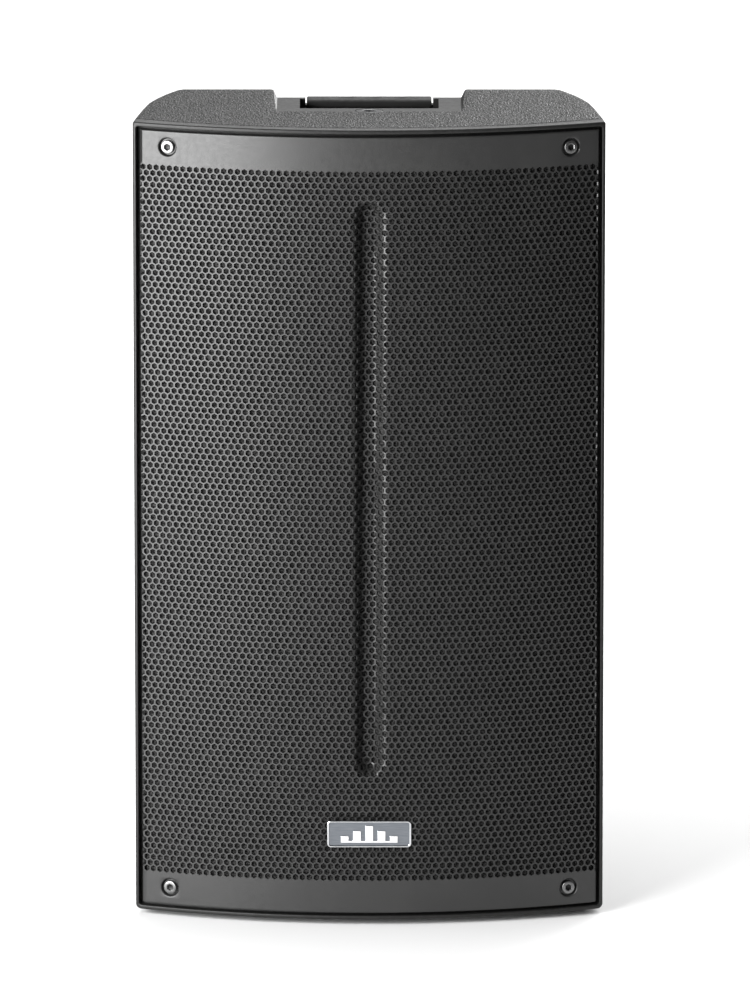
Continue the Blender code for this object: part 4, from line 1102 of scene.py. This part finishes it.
def make_grille_screws():
    """Button-head screws: domed head, hexagon socket with a chamfer, plain shank."""
    low, steps = -DIMPLE + GAP, 72
    top, floor, shank, head = low + 0.0033, low + 0.0004, 0.0030, 0.0058
    corners = [(0, low - 0.020, 0), (shank, low - 0.020, 0.0006), (shank, low, 0), (head, low, 0.0002)]
    corners += [(head, low + 0.0031, 0.0006), (0.0040, top, 0)]
    turns = circle(0, 0, 1, steps)
    rings = [[(radius * c, radius * s, rise) for c, s in turns] for radius, rise in soften(corners, 3)]
    for chamfer, rise in ((0.0006, top), (0.0, low + 0.0029), (0.0, low + 0.0010)):
        radii = [hexagon(0.0025, 2 * math.pi * k / steps) + chamfer for k in range(steps)]
        rings.append([(r * c, r * s, rise) for r, (c, s) in zip(radii, turns)])
    rings.append([(0.0002 * c, 0.0002 * s, floor) for c, s in turns])
    rings.append([(0, 0, floor)] * steps)
    for i, (arc, height) in enumerate(screw_places()):
        node = f"grille_screw_{i + 1}"
        place = screw_stand(rolled(arc, 0, height))
        screw = dress(skin(node + "_head", rings, place=place), PLATED, SHADED_SOCKET)
        inverse = place.inverted()
        # The socket's walls and floor take the dark socket material, which is painted shade in the hexagon
        # recess
        for face in screw.data.polygons:
            here = inverse @ face.center
            if math.hypot(here.x, here.y) < 0.0030 and low + 0.0003 < here.z < low + 0.00305:
                face.material_index = 1
        install(screw, node)


def dished(name, outline_at, levels):
    """A loft through (depth, inset) levels of a rectangle that is moved in by the inset."""
    rings = [[(u, at(depth), v) for u, v in outline_at(inset)] for depth, inset in levels]
    rings.insert(0, [centre_of(rings[0])] * len(rings[0]))
    rings.append([centre_of(rings[-1])] * len(rings[-1]))
    return skin(name, rings)


def centre_of(points):
    total = Vector((0, 0, 0))
    for p in points:
        total += Vector(p)
    return total / len(points)


def make_badge():
    """A dished plate: bright rim, satin face and five plain level bars."""
    back, front = BADGE_FLOOR - GAP, 0.0003
    rim = 0.0017

    def outline_at(inset):
        radius = max(0.0008, 0.0034 - inset)
        return rectangle(0, BADGE_Z, BADGE_HALF[0] - inset, BADGE_HALF[1] - inset, radius, 8)

    levels = [(back, 0.0003), (back - 0.0003, 0.0), (front + 0.0006, 0.0), (front + 0.0002, 0.00015)]
    levels += [(front, 0.0005), (front, rim - 0.0005), (front + 0.0002, rim - 0.00015)]
    levels += [(front + 0.0007, rim), (front + 0.0009, rim + 0.0002)]
    badge = dress(dished("badge", outline_at, levels), RIM, FACE)
    for face in badge.data.polygons:
        if face.center.y > at(front + 0.0008) and face.normal.y < -0.5:
            face.material_index = 1
    install(badge, "badge_plate")

    low, pitch, half = BADGE_Z - 0.0078, 0.0108, 0.0034
    step = low + 0.0018
    bars = []
    for place, height in ((2, 0.0062), (1, 0.0108), (0, 0.0154), (-1, 0.0108), (-2, 0.0062)):
        left, right, high = pitch * place - half, pitch * place + half, low + height
        bars += [(right, step, 0.0003), (right, high, 0.0008), (left, high, 0.0008), (left, step, 0.0003)]
    right_foot, left_foot = [(side * (2 * pitch + half), low, 0.0005) for side in (1, -1)]
    outline = soften([right_foot] + bars[1:-1] + [left_foot], 3)
    emblem = slab("level_bars", [outline], 0.0003, front + 0.0009, round_edge=0.00015)
    install(emblem, "badge_emblem")


# Handle


def make_grip():
    """A rail of one rounded section with three shallow notches, on a tenon at each end."""
    top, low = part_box("top_handle_grip")[1].z, 0.6925
    corners = [(0.1480, top, 0.0052), (0.1780, top, 0.0050), (0.1750, low, 0.0030), (0.1610, low, 0.0030)]
    section = soften(corners, 10)
    hub = Vector((0.164, 0.702))
    half, edge, notch, sink = 0.055, 0.0014, 0.0075, 0.0006
    centres = (-0.023, 0.0005, 0.023)
    cuts = [half - edge * (1 - math.sin(QUARTER * k / 4)) for k in range(5)]
    marks = [c + side * (notch + off) for c in centres for side in (-1, 1) for off in (-0.0003, 0.0003)]
    stations = sorted([-c for c in cuts] + cuts + marks)
    rings = []
    for x in stations:
        past = max(0, abs(x) - (half - edge)) / edge
        inset = edge * (1 - math.sqrt(max(0, 1 - past * past)))
        marked = any(abs(x - c) < notch for c in centres)
        ring_points = []
        for depth, z in section:
            off = Vector((depth, z)) - hub
            spot = hub + off * (off.length - inset) / off.length
            sunk = sink if marked and z > top - 0.0001 and 0.166 < depth < 0.1735 else 0
            ring_points.append((x, at(spot.x), spot.y - sunk))
        rings.append(ring_points)
    first, last = [[(x, at(hub.x), hub.y)] * len(section) for x in (stations[0], stations[-1])]
    grip = skin("handle_rail", [first] + rings + [last])
    legs = [(TENON_HALF, BLOCK_LOW), (TENON_HALF, TENON_TOP), (-TENON_HALF, TENON_TOP)]
    legs += [(-TENON_HALF, BLOCK_LOW), (-ARCH_HALF, BLOCK_LOW), (-ARCH_HALF, ARCH_TOP)]
    legs += [(ARCH_HALF, ARCH_TOP), (ARCH_HALF, BLOCK_LOW)]
    tenons = slab("tenons", [soften([(u, v, 0.0005) for u, v in legs], 2)], TENON_FRONT, TENON_BACK)
    install(combine(grip, [tenons], "UNION"), "top_handle_grip")


def make_cup():
    """A thin-walled cup with a flange round its mouth, closed in section."""
    low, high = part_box("handle_cup")
    wall, flange, rim = 0.003, 0.016, 0.0055
    half, front, back = high.x - flange, low.y + 0.007, high.y - 0.007
    centre, reach = (front + back) / 2, (back - front) / 2

    def ring_at(z, grow, radius):
        return [(u, v, z) for u, v in rectangle(0, centre, half + grow, reach + grow, radius, 6)]

    top = high.z
    levels = [(top, 0.0, 0.006), (top, rim, 0.008), (top - wall, rim, 0.008), (top - wall, 0.0, 0.006)]
    levels += [(low.z + 0.003, -0.001, 0.006), (low.z, -0.004, 0.005)]
    rings = [ring_at(*l) for l in levels]
    rings += [[(0, centre, z)] * len(rings[0]) for z in (low.z, low.z + wall)]
    rings += [ring_at(low.z + wall, -0.006, 0.004), ring_at(low.z + wall + 0.003, -0.0035, 0.004)]
    rings.append(ring_at(top, -wall + 0.0002, 0.004))
    install(skin("handle_cup_shell", rings, True), "handle_cup")


def make_inserts():
    """M10 inserts: eased flange, barrel and a blind hole with thread crests."""
    bore, crest, barrel, flange = 0.0049, 0.0043, 0.0080, 0.0120
    floor, end = -0.0172, -0.0200
    thread = []
    for k in range(10):
        start = -0.0012 - 0.0015 * k
        thread += [(bore, start), (crest, start - 0.0007)]
    profile = [(0, floor), (crest, floor)] + thread[::-1]
    profile += [(bore + 0.0004, -0.0002), (bore + 0.0008, 0.0), (0.0112, 0.0), (0.0117, -0.0001)]
    profile += [(flange, -0.0005), (flange, -0.0015), (barrel, -0.0015), (barrel, end), (0, end)]
    for name in INSERTS:
        install(turned(name + "_body", profile, insert_place(name), steps=72), name, BLACK_ZINC)


# Rear panel, drawn about its face


def on_panel(x, z):
    """A point of the rear panel's face, with local Z out of the panel and local Y down."""
    return stand((x, at(AMP_FACE), z), FACE_BACK)


def from_panel(name, outlines, low, high, round_edge=0.0):
    """A slab between two heights above the panel's face."""
    return slab(name, outlines, AMP_FACE + low, AMP_FACE + high, round_edge=round_edge)


def socket_hole(x, notched):
    """The outline of a connector's hole, with a notch above it for a latch."""
    radius, half, top = 0.0120, 0.0043, LATCH_Z + 0.0014
    if not notched:
        return circle(x, INPUT_Z, radius, 64)
    turn = math.asin(half / radius)
    sweep = 2 * (math.pi - turn)
    outline = [(half, top), (-half, top)]
    for k in range(49):
        angle = QUARTER + turn + sweep * k / 48
        outline.append((radius * math.cos(angle), radius * math.sin(angle)))
    return [(x + u, INPUT_Z + v) for u, v in outline]


def tick_marks(x, z, inner, outer):
    """Printed marks round a knob, as thin quadrilaterals."""
    marks = []
    for k in range(11):
        angle = math.radians(240 - 30 * k)
        out, across = Vector((math.cos(angle), math.sin(angle))), Vector((-math.sin(angle), math.cos(angle)))
        half = 0.0002 if k % 5 else 0.0004
        corners = (inner * out + half * across, inner * out - half * across)
        corners += (outer * out - half * across, outer * out + half * across)
        marks.append([(x + c.x, z + c.y) for c in corners])
    return marks


def outline_of(node, inset, radius, steps=6):
    """The face of a node on the panel, moved in by the inset."""
    centre, half = middle(node), half_size(node)
    return rectangle(centre.x, centre.z, half.x - inset, half.z - inset, radius, steps)


def make_amp_panel():
    """The steel plate with all its holes and its printed marks, which name nothing."""
    outlines = [rectangle(0, AMP_Z, AMP_HALF_X, AMP_HALF_Z, 0.0035)]
    for i, x in enumerate(COLUMNS):
        outlines.append(socket_hole(x, i < 2))
        outlines.append(circle(x, KNOB_Z, 0.0035, 32))
        outlines.append(circle(x, SWITCH_Z, 0.0033 if i < 2 else 0.0035, 32))
    outlines += [circle(x, KNOB_Z, 0.0018, 24) for x in LAMPS]
    outlines += [outline_of(node, 0.0022, 0.001) for node in ("power_inlet", "power_switch_frame")]
    outlines += [circle(spot.x, spot.z, 0.0024, 24) for spot in panel_screw_spots()]
    panel = from_panel("panel_plate", outlines, -2 * half_size("amp_panel").y, 0.0)

    marks = []
    line, sharp = 0.0003, 0.0001
    for x in COLUMNS:
        marks += tick_marks(x, KNOB_Z, 0.0095, 0.0118)
    marks += tick_marks(COLUMNS[2], SWITCH_Z, 0.0081, 0.0098)
    marks += [rectangle(0, z, 0.080, line, sharp, 1) for z in (0.5105, 0.3960)]
    for left, right in zip(COLUMNS, COLUMNS[1:]):
        x = (left + right) / 2
        for z, tall in (((KNOB_Z + SWITCH_Z) / 2 - 0.016, 0.004), (INPUT_Z, 0.011)):
            marks.append(rectangle(x, z, line, tall, sharp, 1))
    for x in COLUMNS[:2]:
        marks += [rectangle(x + 0.0085, SWITCH_Z + step, 0.0016, line, sharp, 1) for step in (-0.002, 0.002)]
    print_marks = from_panel("print_marks", marks, -0.0001, 0.00008)
    merge(dress(panel, PANEL_COAT), dress(print_marks, PRINT))
    install(panel, "amp_panel")


def panel_screw_spots():
    return [middle(f"panel_screw_{i}") for i in range(1, 5)]


def make_panel_screws():
    """Domed heads with a cross slot."""
    shank, end, long, narrow = 0.0020, -0.0024, 0.0017, 0.0003
    profile = [(0, 0.0021), (0.0012, 0.00202), (0.0020, 0.0018), (0.0027, 0.0013), (0.0031, 0.0007)]
    profile += [(0.0032, GAP), (shank, GAP), (shank, end), (0, end)]
    for i, spot in enumerate(panel_screw_spots()):
        node = f"panel_screw_{i + 1}"
        screw = turned(node + "_head", profile, on_panel(spot.x, spot.z), steps=48)
        tools = []
        for half_x, half_z in ((long, narrow), (narrow, long)):
            outline = rectangle(spot.x, spot.z, half_x, half_z, 0.0001, 1)
            tools.append(from_panel("driver_slot", [outline], 0.0008, 0.004))
        install(combine(screw, tools), node)


def fluted(depth, count):
    """Grip flutes round a knob's side, between its skirt and its face."""

    def change(angle, radius, height):
        if 0.0015 < height < 0.0094 and radius > 0.004:
            return -depth * (0.5 + 0.5 * math.cos(count * angle))
        return 0
    return change


def make_knob(node, body, x, z, radius):
    """A fluted knob on its shaft, with a raised pointer."""
    skirt, shaft, end = radius + 0.0008, 0.0030, -0.0120
    profile = [(0, 0.0098), (radius - 0.0014, 0.0098), (radius - 0.0009, 0.0096), (radius - 0.0005, 0.0090)]
    profile += [(radius - 0.0001, 0.0050), (radius, 0.0020), (radius + 0.0004, 0.0012)]
    profile += [(skirt, 0.0009), (skirt, GAP), (shaft, GAP), (shaft, end), (0, end)]
    knob = turned(node + "_body", profile, on_panel(x, z), steps=120, wave=fluted(0.0005, 20))
    low, high = z + 0.0010, z + radius - 0.0010
    outline = rectangle(x, (low + high) / 2, 0.0006, (high - low) / 2, 0.0003, 4)
    pointer = from_panel(node + "_pointer", [outline], 0.0080, 0.0102)
    merge(dress(knob, SOFT), dress(pointer, PRINT))
    install(knob, node, body=body)


def make_connector(node, x, latched):
    """Flange, barrel and socket. A latched one has a core for a jack, the other has three pins."""
    half, low, high = 0.0043, LATCH_Z - 0.0023, LATCH_Z + 0.0014
    outlines = [rectangle(x, INPUT_Z, 0.0130, 0.0155, 0.0020), circle(x, INPUT_Z, 0.0099, 64)]
    if latched:
        outlines.append(rectangle(x, INPUT_Z + (low + high) / 2, half, (high - low) / 2, 0.0004, 2))
    made = from_panel(node + "_flange", outlines, GAP, 0.0022, round_edge=0.0004)
    floor, core_top, outside = -0.0193, -0.0020, 0.0117
    barrel = [(0, -0.0252), (0.0114, -0.0252), (outside, -0.0249), (outside, 0.0004), (0.0103, 0.0004)]
    barrel += [(0.0103, 0.0019), (0.0101, 0.0022), (0.0098, 0.0022), (0.0096, 0.0019), (0.0096, floor)]
    if latched:
        barrel += [(0.0064, floor), (0.0064, -0.0024), (0.0061, core_top), (0.0037, core_top)]
        barrel += [(0.0033, -0.0024), (0.0033, floor)]
    barrel.append((0, floor))
    tube = turned(node + "_barrel", barrel, on_panel(x, INPUT_Z), steps=72)
    merge(dress(made, PANEL), dress(tube, PANEL))
    if not latched:
        pin, ring_radius, root = 0.0012, 0.0048, floor - 0.0004
        profile = [(0, -0.0040), (0.0007, -0.0041), (0.0011, -0.0046), (pin, -0.0055), (pin, root), (0, root)]
        for u, v in [circle(0, 0, ring_radius, 12)[k] for k in (1, 5, 9)]:
            contact = turned(node + "_pin", profile, on_panel(x + u, INPUT_Z + v), steps=24)
            merge(made, dress(contact, PLATED))
    install(made, node)


def make_latch(node, body):
    low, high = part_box(node)
    outline = outline_of(node, 0, 0.0004, 4)
    latch = slab(node + "_tab", [outline], low.y - FRONT, high.y - FRONT, round_edge=0.0003)
    install(latch, node, body=body)


def make_rear_controls():
    for i, body in enumerate(("input_1_level", "input_2_level", "master_level")):
        make_knob(body + "_knob", body, COLUMNS[i], KNOB_Z, 0.0072)
    make_knob("preset_selector_knob", "preset_selector", COLUMNS[2], SWITCH_Z, 0.0058)
    cap, base, end = 0.0030, 0.0045, -0.0080
    push = [(0, 0.0046), (0.0022, 0.0046), (0.0027, 0.0044), (cap, 0.0040), (cap, -0.0028)]
    push += [(base, -0.0028), (base, end), (0, end)]
    for i, x in enumerate(COLUMNS[:2], 1):
        node = f"input_{i}_mic_switch"
        switch = turned(node + "_body", push, on_panel(x, SWITCH_Z), steps=40)
        install(switch, node, body=f"input_{i}_mic_push")
        make_connector(f"combo_input_{i}", x, True)
        make_latch(f"combo_input_{i}_latch", f"combo_{i}_latch")
    make_connector("link_output", COLUMNS[2], False)
    lamp = [(0, 0.0016), (0.0006, 0.0015), (0.0011, 0.0012), (0.0014, 0.0007), (0.0015, 0.0001)]
    lamp += [(0.0015, -0.006), (0, -0.006)]
    for node, x, look in (("power_lamp", LAMPS[0], GREEN_LENS), ("limit_lamp", LAMPS[1], RED_LENS)):
        install(turned(node + "_lens", lamp, on_panel(x, KNOB_Z), steps=32), node, look)


def make_feet():
    """Rubber feet with a hollow for their screw."""
    profile = [(0, 0.0047), (0.0161, 0.0047), (0.0165, 0.0043), (0.0152, 0.0010), (0.0148, 0.0003)]
    profile += [(0.0143, 0.0), (0.0040, 0.0), (0.0036, 0.0004), (0.0036, 0.0012), (0, 0.0012)]
    for i in range(1, 5):
        node = f"rubber_foot_{i}"
        spot = middle(node)
        install(turned(f"foot_{i}", profile, stand((spot.x, spot.y, 0))), node)


def make_pole_socket():
    """A tube for a stand's pole, open below, with a flange under the cabinet."""
    outside, bore, flange, low, top = 0.0220, 0.0178, 0.0380, 0.0015, 0.084
    ceiling, edge = top - 0.003, 0.0004
    profile = [(0, top), (outside - 0.0010, top), (outside, top - 0.0010), (outside, 0.0047)]
    profile += [(flange - edge, 0.0047), (flange, 0.0043), (flange, low + edge), (flange - edge, low)]
    profile += [(bore + 0.0015, low), (bore, low + 0.0015), (bore, ceiling), (0, ceiling)]
    place = stand((0, middle("pole_socket").y, 0))
    install(turned("socket_tube", profile, place, steps=96), "pole_socket")


finish_shell()
make_front_frame()
make_grille()
make_foam()
make_grille_screws()
make_badge()
make_grip()
make_cup()
make_inserts()
make_amp_panel()
make_panel_screws()
make_rear_controls()
make_feet()
make_pole_socket()


# Pieces that keep their CAD shape
for name, slot in SLOTS.items():
    if not frame["nodes"][name].hide_render:
        dress(frame["nodes"][name], SLOT_LOOKS[slot])
